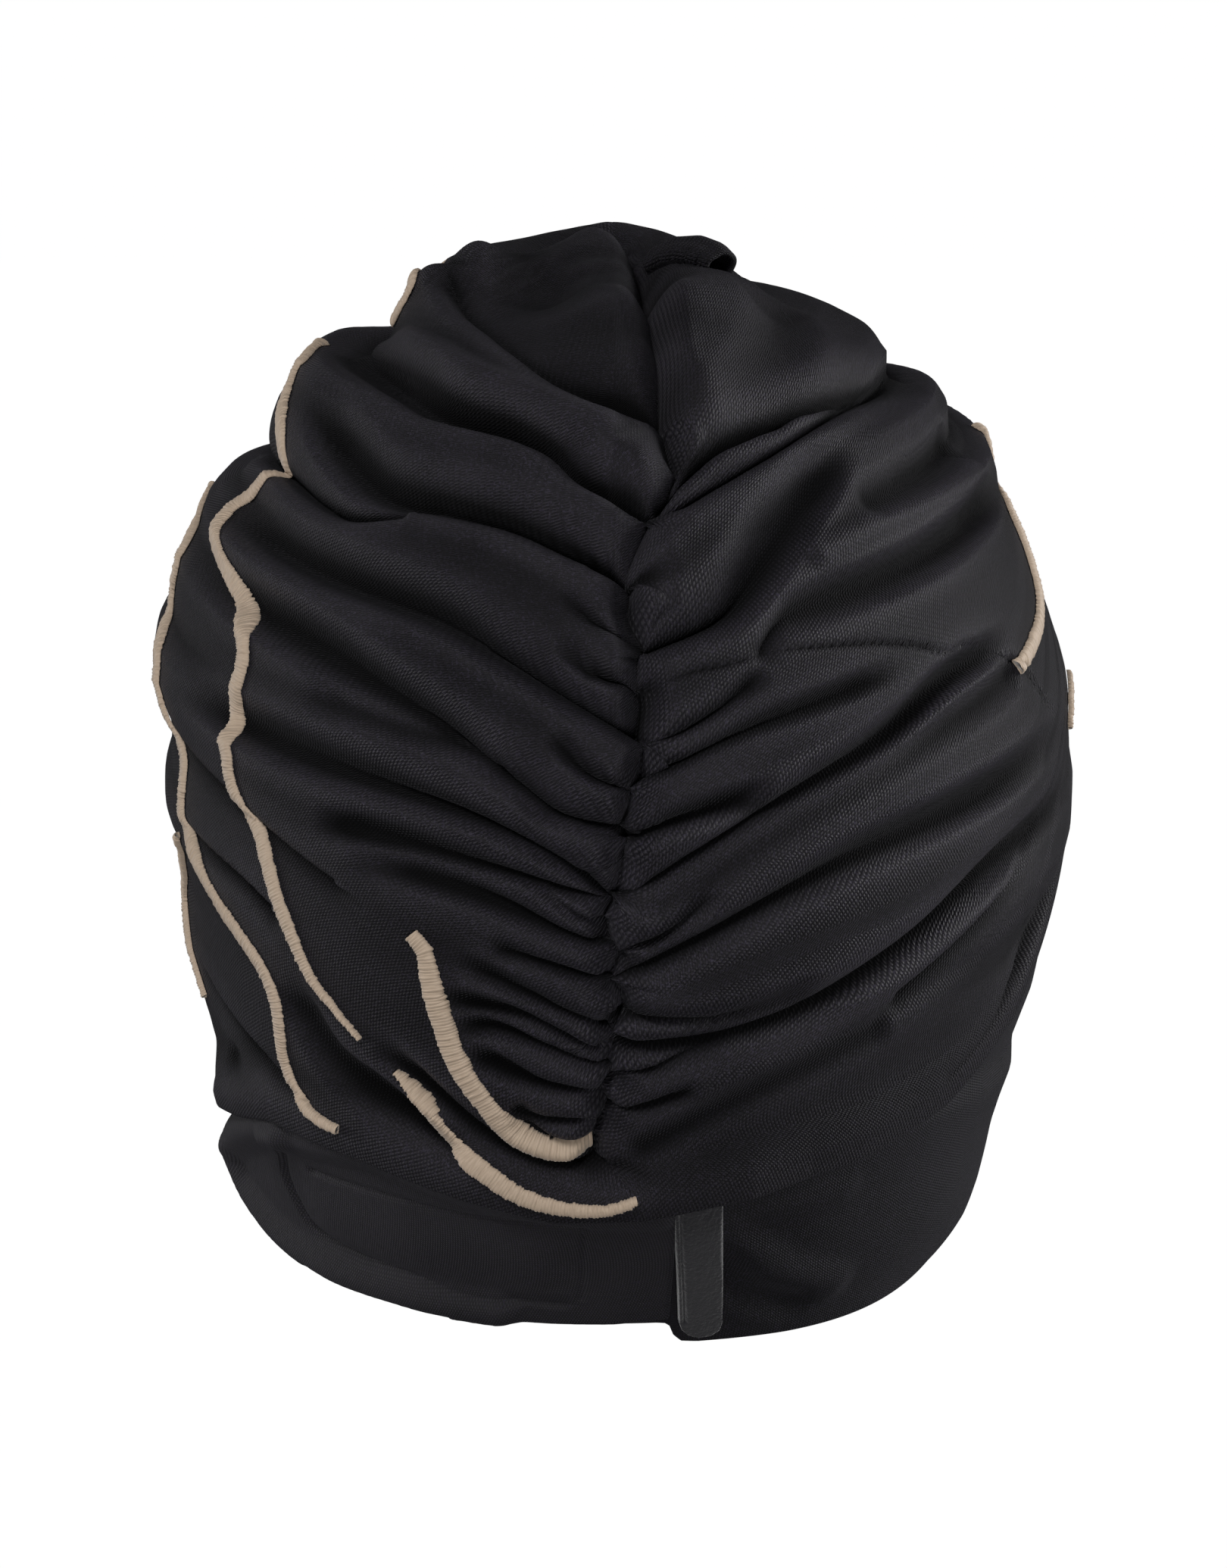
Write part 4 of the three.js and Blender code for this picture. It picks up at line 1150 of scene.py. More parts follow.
@dataclass(frozen=True)
class Tricot(Finish):
    """Black polyester tricot, warp-knitted: a matt ground of fine staggered loops.

    The eye gets a soft grey grain of loop tops over black gaps, where the gaps are painted dark as
    shade between the loops, violet and blue fibre glints painted as lighter specks, and a faint
    bloom where the cloth turns away. The colour is painted darker deep in a crease, as painted
    shade, and lighter on a ridge, as painted highlight.
    """

    colour: int
    loop_colour: int
    loop_pitch: float
    direction: Direction
    relief: float
    loop_lean: float = 30.0
    fibre: float = 1 / 1.4
    mottle: float = 1 / 0.06
    speck: float = 1 / 2.3
    grain: float = 0.5
    roughness: float = 0.5
    rough_spread: float = 0.07
    lustre: float = 0.11
    index: float = 1.5
    sheen: float = 0.06
    sheen_roughness: float = 0.5
    sheen_colour: int = 0xCFCDD8
    glint: int = 0x2D2A34
    glint_noise: tuple[float, float] = (0.52, 0.72)
    glint_share: float = 0.8
    painted_fold_shading_depths: tuple[float, float] = (-0.9, 0.75)
    painted_fold_shading: tuple[float, float] = (1.75, 0.04)
    dull_depth: tuple[float, float] = (-0.2, 0.6)
    dulling: float = 0.4

    def loops(self, tree: bpy.types.NodeTree, cloth: bpy.types.NodeSocket) -> bpy.types.NodeSocket:
        """Adds the staggered loops, as two crossed waves on the flat cloth.

        Args:
            tree: Node tree to add to.
            cloth: Places on the flat cloth.

        Returns:
            The loops' height.
        """
        waves = []
        for lean in (-self.loop_lean, self.loop_lean):
            angle = math.radians(self.direction.value + lean)
            turned = add_node(tree, MAPPING, {"Vector": cloth, "Rotation": (0, 0, angle)})
            wave = add_node(
                tree,
                "ShaderNodeTexWave",
                {
                    "Vector": turned.outputs["Vector"],
                    # One sine band is 0.1 pi texture units wide.
                    "Scale": 0.1 * math.pi * per_metre(self.loop_pitch),
                    "Distortion": 0.0,
                },
                wave_type="BANDS",
                bands_direction="X",
                wave_profile="SIN",
            )
            waves.append(wave.outputs["Fac"])
        return add_node(tree, MATH, dict(enumerate(waves)), operation="MULTIPLY").outputs[0]

    def shade(self, tree: bpy.types.NodeTree) -> dict[str | int, Any]:
        """Adds loops from the cloth's own map, grain from object space and painted shade and
        highlight from the folds.

        Args:
            tree: Node tree to add to.

        Returns:
            Values or output sockets for the shader's inputs.
        """
        place = add_node(tree, "ShaderNodeTexCoord").outputs
        loops = self.loops(tree, place["UV"])
        fibre, mottle, speck = (
            add_node(
                tree, NOISE, {"Vector": place["Object"], "Scale": per_metre(size), "Detail": detail}
            ).outputs["Fac"]
            for size, detail in ((self.fibre, 2.0), (self.mottle, 3.0), (self.speck, 1.0))
        )
        height, amount = (
            add_node(tree, MATH, {0: noise, 1: self.grain, 2: loops}, operation="MULTIPLY_ADD")
            for noise in (fibre, mottle)
        )
        bump = add_node(
            tree, BUMP, {"Height": height.outputs[0], "Strength": 1.0, "Distance": self.relief * MM}
        )
        # The loop tops are mixed lighter and the gaps between them darker, as painted shade in the
        # knit's gaps, and the mottle varies the tone at random.
        ground, gleam = linear(self.colour), linear(self.loop_colour)
        colour = add_node(
            tree,
            MIX,
            {FACTOR: amount.outputs[0], FIRST: ground, SECOND: gleam},
            data_type="RGBA",
        )
        # Painted glints: lighter violet specks mixed into the colour at random, standing in for
        # fibres that catch the light.
        glinting = add_node(tree, RANGE, limits(speck, self.glint_noise, (0.0, self.glint_share)))
        glints = add_node(
            tree,
            MIX,
            {
                FACTOR: glinting.outputs[0],
                FIRST: colour.outputs[MIXED],
                SECOND: linear(self.glint),
            },
            data_type="RGBA",
        )
        # Painted shade and highlight: the colour is scaled darker deep in a crease and lighter on a
        # ridge, by the crease_depth attribute; the roughness also rises in a crease.
        depth = add_node(tree, "ShaderNodeAttribute", attribute_name="crease_depth").outputs["Fac"]
        painted_fold_shading = add_node(
            tree, RANGE, limits(depth, self.painted_fold_shading_depths, self.painted_fold_shading), interpolation_type="SMOOTHSTEP"
        )
        shown = add_node(
            tree,
            "ShaderNodeVectorMath",
            {0: glints.outputs[MIXED], "Scale": painted_fold_shading.outputs[0]},
            operation="SCALE",
        )
        low, high = self.roughness - self.rough_spread, self.roughness + self.rough_spread
        rough = add_node(tree, RANGE, limits(mottle, (0.0, 1.0), (low, high)))
        dull = add_node(tree, RANGE, limits(depth, self.dull_depth, (0.0, self.dulling)))
        matt = add_node(
            tree, MATH, {0: dull.outputs[0], 1: rough.outputs[0]}, operation="ADD", use_clamp=True
        )
        return {
            "Base Color": shown.outputs[0],
            "Roughness": matt.outputs[0],
            "Normal": bump.outputs[0],
            "Specular IOR Level": self.lustre,
            "Sheen Weight": self.sheen,
            "IOR": self.index,
            "Sheen Roughness": self.sheen_roughness,
            "Sheen Tint": linear(self.sheen_colour),
        }


@dataclass(frozen=True)
class NoiseFinish(Finish):
    """A finish of one fine noise, which colours it and raises it."""

    colour: int
    shade_colour: int
    detail: float
    strength: float
    relief: float
    roughness: float
    lustre: float
    sheen: float

    def pattern(
        self, tree: bpy.types.NodeTree, place: bpy.types.NodeOutputs
    ) -> tuple[bpy.types.NodeSocket, float]:
        """Chooses what the noise follows.

        Args:
            tree: Node tree to add to.
            place: The outputs with the places on the piece.

        Returns:
            The places that the noise reads, and its scale there.
        """
        raise NotImplementedError

    def shade(self, tree: bpy.types.NodeTree) -> dict[str | int, Any]:
        """Adds the noise, and the colour and the bump that it makes.

        Args:
            tree: Node tree to add to.

        Returns:
            Values or output sockets for the shader's inputs.
        """
        vector, scale = self.pattern(tree, add_node(tree, "ShaderNodeTexCoord").outputs)
        noise = add_node(
            tree, NOISE, {"Vector": vector, "Scale": scale, "Detail": self.detail}
        ).outputs["Fac"]
        dark, light = linear(self.shade_colour), linear(self.colour)
        colour = add_node(tree, MIX, {FACTOR: noise, FIRST: dark, SECOND: light}, data_type="RGBA")
        bump = add_node(
            tree,
            BUMP,
            {"Height": noise, "Strength": self.strength, "Distance": self.relief * MM},
        )
        return {
            "Base Color": colour.outputs[MIXED],
            "Normal": bump.outputs[0],
            "Roughness": self.roughness,
            "Specular IOR Level": self.lustre,
            "Sheen Weight": self.sheen,
        }


@dataclass(frozen=True)
class SatinThread(NoiseFinish):
    """Rayon embroidery thread, laid side by side: a soft lustre across the strands."""

    detail: float = 3.0
    strength: float = 0.8
    relief: float = 0.12
    roughness: float = 0.62
    lustre: float = 0.35
    sheen: float = 0.25
    strand: float = 1 / 4.2
    strand_length: float = 2.0

    def pattern(
        self, tree: bpy.types.NodeTree, place: bpy.types.NodeOutputs
    ) -> tuple[bpy.types.NodeSocket, float]:
        """Gives the line's own map, drawn out along the strands.

        Args:
            tree: Node tree to add to.
            place: The outputs with the places on the piece.

        Returns:
            The places that the noise reads, and its scale there.
        """
        cells = (per_metre(self.strand), per_metre(self.strand_length), 1.0)
        drawn = add_node(tree, MAPPING, {"Vector": place["UV"], "Scale": cells})
        return drawn.outputs["Vector"], 1.0


@dataclass(frozen=True)
class BrushedTape(NoiseFinish):
    """Brushed nylon hook-and-loop tape: a matt nap that greys the black under it."""

    detail: float = 4.0
    strength: float = 1.0
    relief: float = 0.3
    roughness: float = 0.9
    lustre: float = 0.25
    sheen: float = 0.45
    sheen_roughness: float = 0.5
    nap: float = 1 / 1.5

    def pattern(
        self, tree: bpy.types.NodeTree, place: bpy.types.NodeOutputs
    ) -> tuple[bpy.types.NodeSocket, float]:
        """Gives object space."""
        return place["Object"], per_metre(self.nap)

    def shade(self, tree: bpy.types.NodeTree) -> dict[str | int, Any]:
        """Adds the nap and its wide bloom."""
        return {**super().shade(tree), "Sheen Roughness": self.sheen_roughness}


@dataclass(frozen=True)
class Glow(Finish):
    """An even glow without a reflection, for the studio's surround."""

    colour: int
    strength: float = 1.0

    def shade(self, tree: bpy.types.NodeTree) -> dict[str | int, Any]:
        """Gives the shader's inputs, which need no nodes."""
        glow = {"Emission Color": linear(self.colour), "Emission Strength": self.strength}
        return {"Base Color": linear(0x000000), **glow}


DRAPE_TRICOT = Tricot("warp_knit_tricot", 0x030304, 0x2A282C, 0.7, Direction.DIAGONAL, 0.3)
BAND_TRICOT = Tricot("lining_tricot", 0x0C0C0D, 0x272629, 0.6, Direction.ALONG, 0.12)
STRAP_TRICOT = Tricot("fastening_loop_tricot", 0x131314, 0x3A383C, 0.5, Direction.ALONG, 0.12)
THREAD = SatinThread("satin_stitch_thread", 0xCDB9A4, 0x9C8874)
TAPE = BrushedTape("brushed_loop_tape", 0x302F33, 0x141416)
SWEEP = Glow("matt_white_sweep", 0xFFFFFF)


# ---------------------------------------------------------------- the cap's pieces
@dataclass(frozen=True)
class Flat:
    """The size that a piece of cloth was cut to, in metres, and how it is held."""

    width: float
    length: float
    area: float
    held: str


@dataclass
class Piece:
    """A piece of the cap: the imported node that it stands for, its slot and its flat cloth."""

    name: str
    node: str
    slot: str
    flat: Flat | None
    rests_on: tuple[str, ...]

    def build(self, surface: FoldedSurface) -> bpy.types.Object:
        """Builds the piece's mesh.

        Args:
            surface: The folded surface.

        Returns:
            The object.
        """
        raise NotImplementedError

    def dress(self, obj: bpy.types.Object, material: bpy.types.Material) -> None:
        """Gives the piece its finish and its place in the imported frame.

        Args:
            obj: The piece's object.
            material: The piece's material.
        """
        obj.data.materials.append(material)
        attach(obj, "root")
        if self.node:
            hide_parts(self.node)
        LOG.info("%s: %d faces", obj.name, len(obj.data.polygons))


@dataclass
class Drape(Piece):
    """One of the two gathered halves of the cap, from the back seam round to the front.

    The spacings of its rows and columns, its walls and its hem's radius are in millimetres.
    """

    side: int
    rows: int = 280
    columns: int = 262
    row_spacing: tuple[float, float] = (0.72, 1.1)
    fine_to_height: float = 150.0
    samples: int = 2001
    rounds: int = 4
    deep: float = 2.0
    level_reach: tuple[int, int] = (7, 3)
    wall: float = 1.4
    hem_radius: float = 1.2
    hem_steps: int = 6
    hem_cloth: float = 1.3
    hem_ease: float = 8.0
    seam_gap: float = -0.3
    inner_reach: int = 2

    def above_hem(self, surface: FoldedSurface, turn: Array, share: Array) -> Array:
        """Height of a place by its share of the way from the hem to the crown.

        Args:
            surface: The folded surface.
            turn: Turns of the places.
            share: Their shares of the way.

        Returns:
            Their heights.
        """
        form = surface.form
        low = form.row_at(turn, surface.hem(turn))
        return form.row_height(turn, blend(low, 1.0, share))

    def layout(self, surface: FoldedSurface) -> tuple[Array, Array]:
        """Turn and height of each row and column.

        Args:
            surface: The folded surface.

        Returns:
            Grids of turns and heights: rows from the hem to the crown, columns by rising turn.
        """
        form = surface.form
        dense = np.linspace(0, 1, self.samples)
        heights = self.above_hem(surface, np.zeros_like(dense), dense)
        up = lengths(form.point(np.zeros_like(dense), heights))
        rows = spread(up, np.where(heights < self.fine_to_height, *self.row_spacing), self.rows)
        ring = lengths(form.point(180 * dense, np.full_like(dense, form.widest)))
        columns = spread(ring, read_table(COLUMN_SPACING, ring), self.columns)
        seam_turn = np.zeros_like(rows)
        for _ in range(self.rounds):
            seam_turn = surface.seam_turn(self.above_hem(surface, seam_turn, rows))
        turn = blend(seam_turn[:, None], self.side * 180.0, columns[None])
        height = self.above_hem(surface, turn, rows[:, None])
        return (turn, height) if self.side > 0 else (turn[:, ::-1], height[:, ::-1])

    def level(self, out: Array) -> Array:
        """Levels the folds out of a grid of swells, over about a centimetre.

        Args:
            out: Grid of swells.

        Returns:
            The levelled grid.
        """
        for axis, reach in enumerate(self.level_reach):
            padded = np.pad(out, [(reach, reach) if i == axis else (0, 0) for i in (0, 1)], "edge")
            steps = range(-reach, reach + 1)
            out = np.mean([np.roll(padded, step, axis) for step in steps], axis=0)
            out = out[reach:-reach] if axis == 0 else out[:, reach:-reach]
        return out

    def lowest(self, out: Array) -> Array:
        """Finds the lowest swell round each place, so that the inside stays within the folds.

        Args:
            out: Grid of swells.

        Returns:
            The lowest swell round each place.
        """
        reach = self.inner_reach
        for axis in (0, 1):
            padded = np.pad(out, reach, mode="edge")
            steps = range(-reach, reach + 1)
            near = [np.roll(padded, step, axis)[reach:-reach, reach:-reach] for step in steps]
            out = np.minimum.reduce(near)
        return out

    def build(self, surface: FoldedSurface) -> bpy.types.Object:
        """Builds the half as one closed sheet with a rolled hem.

        Args:
            surface: The folded surface.

        Returns:
            The object.
        """
        form = surface.form
        turn, height = self.layout(surface)
        out, slide = surface.offsets(turn.ravel(), height.ravel())
        out, slide = out.reshape(turn.shape), slide.reshape(*turn.shape, 3)
        base, normal = form.point(turn, height), form.normal(turn, height)
        shift = np.array([self.side * self.seam_gap / 2, 0, 0])
        outer = base + slide + normal * out[..., None] + shift
        cloth = on_flat_cloth(base)
        # How deep each place lies below its levelled neighbours, which the knit's material turns
        # into painted shade in creases and painted highlight on ridges.
        depth = np.clip((self.level(out) - out) / self.deep, -1, 1)
        shell = Shell(form.seat)
        top = shell.add(outer[:-1], cloth[:-1], depth[:-1])
        crown = shell.add(outer[-1:, :1], cloth[-1:, :1])[0, 0]
        shell.skin(top)
        shell.gather(top[-1], crown)

        angle = np.linspace(0, math.pi, self.hem_steps + 1)[1:, None]
        hem_height = height[0] - self.hem_radius * np.sin(angle)
        hem_out = out[0] - self.hem_radius * (1 - np.cos(angle))
        hem_turn = np.broadcast_to(turn[0], hem_height.shape)
        hem = form.point(hem_turn, hem_height) + slide[0]
        hem += form.normal(hem_turn, hem_height) * hem_out[..., None] + shift
        hem_cloth = cloth[:1] - np.stack([0 * angle, self.hem_cloth * angle], -1)
        roll = shell.add(hem, np.broadcast_to(hem_cloth, (*hem_height.shape, 2)))
        shell.skin(np.vstack([roll[::-1], top[:1]]))

        above = smooth(0, self.hem_ease, height - surface.hem(turn))
        depths = self.lowest(out) - blend(2 * self.hem_radius, self.wall, above)
        inner = (base + normal * depths[..., None] + shift)[::2, ::2]
        low = shell.add(inner[:-1], cloth[::2, ::2][:-1])
        pit = shell.add(inner[-1:, :1], cloth[-1:, :1])[0, 0]
        shell.skin(low, turned=True)
        shell.gather(low[-1], pit, turned=True)
        shell.zip_edges(roll[-1], low[0])
        for column, turned in ((0, True), (-1, False)):
            outside, inside = top[:, column], low[:, column]
            shell.zip_edges(np.append(outside, crown), np.append(inside, pit), turned)
            shell.fan(np.concatenate([outside[:1], roll[:, column], inside[:1]]), turned)
        return shell.mesh(self.name)


@dataclass
class CrownPleat(Piece):
    """The curled end of the pleat beside the seam on the crown: a roll that is open at its end.

    Its folds are waves round the roll: share of the radius, number of waves and phase.
    """

    rings: int = 46
    around: int = 56
    wall: float = 1.2
    inner_from: int = 4
    tall: float = 1.05
    folds: tuple[tuple[float, int, float], ...] = ((0.08, 3, 0.7), (0.05, 5, 0.0))

    def build(self, surface: FoldedSurface) -> bpy.types.Object:
        """Builds the roll with its rounded rim and its inside.

        Args:
            surface: The folded surface, of which the roll only needs the form's seat.

        Returns:
            The object.
        """
        share, stops = np.linspace(0, 1, self.rings), np.linspace(0, 1, len(PLEAT))
        right, front, up, radius = (np.interp(share, stops, column) for column in PLEAT.T)
        centre = np.stack([right, front, up], -1)
        ahead = unit(np.gradient(centre, axis=0))
        side = unit(np.cross(ahead, [0.0, 0.0, 1.0]))
        rise = np.cross(side, ahead)
        angle = np.linspace(0, 2 * math.pi, self.around, endpoint=False)
        fold = np.ones_like(angle)
        for size, waves, phase in self.folds:
            fold += size * np.sin(waves * angle + phase)
        half, last = self.wall / 2, self.rings - 1
        layers = [(i, radius[i], 0.0) for i in range(self.rings)]
        for turn in ROUND:
            layers.append((last, radius[-1] - half * (1 - math.cos(turn)), half * math.sin(turn)))
        inside = range(last, self.inner_from - 1, -1)
        layers += [(i, radius[i] - self.wall, 0.0) for i in inside]
        points = []
        for ring, reach, past in layers:
            circle = np.cos(angle)[:, None] * side[ring]
            circle = circle + self.tall * np.sin(angle)[:, None] * rise[ring]
            points.append(centre[ring] + past * ahead[ring] + circle * (reach * fold)[:, None])
        grid = np.stack(points)
        shell = Shell(surface.form.seat)
        ids = shell.add(grid, on_flat_cloth(closed(grid))[:, :-1])
        shell.skin(closed(ids))
        shell.fan(ids[0], turned=True)
        shell.fan(ids[-1])
        return shell.mesh(self.name)


@dataclass
class RimBand(Piece):
    """The smooth band round the rim, visible below the hem and tucked under the drapes.

    Its section runs through five stops, given by their shares of its width.
    """

    columns: int = 480
    rows: int = 44
    wall: float = 1.2
    stops: tuple[float, ...] = (0.0, 0.4, 0.72, 0.84, 1.0)
    middle: float = 0.45
    below_hem: float = 3.5
    above_hem: float = 0.5
    tuck: float = 5.0
    out: float = -1.7
    edge_out: float = 0.2
    hem_in: float = 1.1
    sink: float = -7.6
    ear: tuple[float, float] = (15.0, 60.0)
    hem_fade: tuple[float, float] = (2.0, 12.0)

    def profile(self, surface: FoldedSurface, turn: Array, share: Array) -> tuple[Array, Array]:
        """Height and offset of the band by the share of its width.

        Args:
            surface: The folded surface.
            turn: Turns, one for each column.
            share: Shares of the width from the edge up, one for each row.

        Returns:
            Grids of heights and offsets.
        """
        edge, hem = surface.form.edge(turn) + read_table(EDGE_LIFT, turn), surface.hem(turn)
        middle = blend(edge, hem, self.middle)
        levels = (edge, middle, hem - self.below_hem, hem + self.above_hem, hem + self.tuck)
        outs = (self.out + self.edge_out, self.out, self.out, self.out - self.hem_in, self.sink)
        columns = np.stack(levels, -1)
        heights = np.array([np.interp(share, self.stops, column) for column in columns]).T
        return heights, np.interp(share, self.stops, outs)[:, None] + 0 * heights

    def softness(self, surface: FoldedSurface, turn: Array, height: Array) -> Array:
        """The band's own soft pulls, mostly beside the tab.

        Args:
            surface: The folded surface.
            turn: Turns of the places.
            height: Heights of the places.

        Returns:
            The swell at each place.
        """
        form = surface.form
        points = form.point(turn, height).reshape(-1, 3)
        normals = form.normal(turn, height).reshape(-1, 3)
        out = np.zeros(len(points))
        add_swells(out, lay_out(form, BAND_SWELLS), points, normals)
        left, right = read_table(BAND_SWELL, height), read_table(BAND_SWELL, height, 2)
        side = np.where(turn < 0, left, right) * smooth(*self.ear, np.abs(turn))
        clear = smooth(*self.hem_fade, surface.hem(turn) - height)
        return out.reshape(turn.shape) * clear + side

    def build(self, surface: FoldedSurface) -> bpy.types.Object:
        """Builds the band as a closed ring of cloth with a folded edge.

        Args:
            surface: The folded surface.

        Returns:
            The object.
        """
        form = surface.form
        turn = np.linspace(-180, 180, self.columns, endpoint=False)
        height, out = self.profile(surface, turn, np.linspace(0, 1, self.rows + 1))
        turns = np.broadcast_to(turn, height.shape)
        out = out + self.softness(surface, turns, height)
        radius, angle = self.wall / 2, ROUND[:, None]
        fold_height = height[0] - radius * np.sin(angle)
        fold_out = out[0] - radius * (1 - np.cos(angle))
        fold_turn = np.broadcast_to(turn, fold_height.shape)
        outer, inner = form.off(turns, height, out), form.off(turns, height, out - self.wall)
        loop = np.concatenate([outer[::-1], form.off(fold_turn, fold_height, fold_out), inner])
        shell = Shell(form.seat)
        rings = closed(shell.add(loop, on_flat_cloth(closed(loop))[:, :-1]))
        shell.skin(np.vstack([rings, rings[:1]]), turned=True)
        return shell.mesh(self.name)


@dataclass
class Patch(Piece):
    """A flat cloth piece that lies on the band, with rounded edges.

    Its table gives turn, low edge and high edge. Its rim stands out by rim_wall and its middle by
    wall, from under, which is below the form. A lean draws its upper part round the cap.
    """

    table: Array
    wall: float
    edge_width: float
    columns: int
    rows: int
    swells: tuple[Swell, ...]
    creases: tuple[Crease, ...]
    nap: float = 0.05
    nap_size: float = 0.8
    nap_seed: int = 5
    lean: float = 0.0
    lean_height: float = 20.0
    under: float = -1.0
    rim_wall: float = 0.3
    dent_share: float = 0.7
    end_shares: tuple[float, ...] = (0, 0.004, 0.012, 0.022)
    side_shares: tuple[float, ...] = (0, 0.006, 0.02, 0.04)

    @staticmethod
    def stations(steps: int, close: Sequence[float]) -> Array:
        """Shares from 0 to 1 in even steps, with the close ones at both ends too."""
        ends = np.array(close)
        return np.unique(np.concatenate([np.linspace(0, 1, steps + 1), ends, 1 - ends]))

    def relief(self, form: HeadForm, base: Array, normal: Array) -> Array:
        """How far the patch's swells and creases move its face.

        Args:
            form: The head form.
            base: Grid of points on the form.
            normal: The form's normals there.

        Returns:
            The offset at each place.
        """
        points, normals = base.reshape(-1, 3), normal.reshape(-1, 3)
        relief = np.zeros(len(points))
        add_swells(relief, lay_out(form, self.swells), points, normals)
        for crease, route in lay_out(form, self.creases):
            near, off = route.beside(crease, points, normals)
            deep = blend(crease.near, crease.far, near.along)
            relief[near.index] -= deep * np.clip(1 - off, 0, 1) ** 2
        return np.maximum(relief.reshape(base.shape[:-1]), -self.dent_share * self.wall)

    def build(self, surface: FoldedSurface) -> bpy.types.Object:
        """Builds the patch as a closed, slightly crowned piece.

        Args:
            surface: The folded surface.

        Returns:
            The object.
        """
        form = surface.form
        share = self.stations(self.columns, self.end_shares)
        across = self.stations(self.rows, self.side_shares)
        turn = blend(self.table[0, 0], self.table[-1, 0], share)
        low, high = read_table(self.table, turn), read_table(self.table, turn, 2)
        height = blend(low, high, across[:, None])
        turns = turn - self.lean * (height - self.lean_height)
        base, normal = form.point(turns, height), form.normal(turns, height)
        cloth = on_flat_cloth(base)
        along, up = np.moveaxis(cloth, -1, 0)
        inside = np.minimum.reduce([along, along[:, -1:] - along, up, up[-1:] - up])
        edge = np.clip(inside / self.edge_width, 0, 1)
        round_edge = np.sqrt(1 - (1 - edge) ** 2)
        nap = Ripple(self.nap_seed).at(along / self.nap_size, up / self.nap_size) * self.nap
        full = self.wall - self.rim_wall + self.relief(form, base, normal)
        top = self.under + self.rim_wall + full * round_edge
        outer = base + normal * (top + nap * round_edge)[..., None]
        shell = Shell(form.seat)
        upper, lower = shell.add(outer, cloth), shell.add(base + normal * self.under, cloth)
        shell.skin(upper)
        shell.skin(lower, turned=True)
        shell.skin(np.stack([lower[0], upper[0]]))
        shell.skin(np.stack([upper[-1], lower[-1]]))
        shell.skin(np.stack([upper[:, 0], lower[:, 0]]).T, turned=True)
        shell.skin(np.stack([upper[:, -1], lower[:, -1]]).T)
        return shell.mesh(self.name)


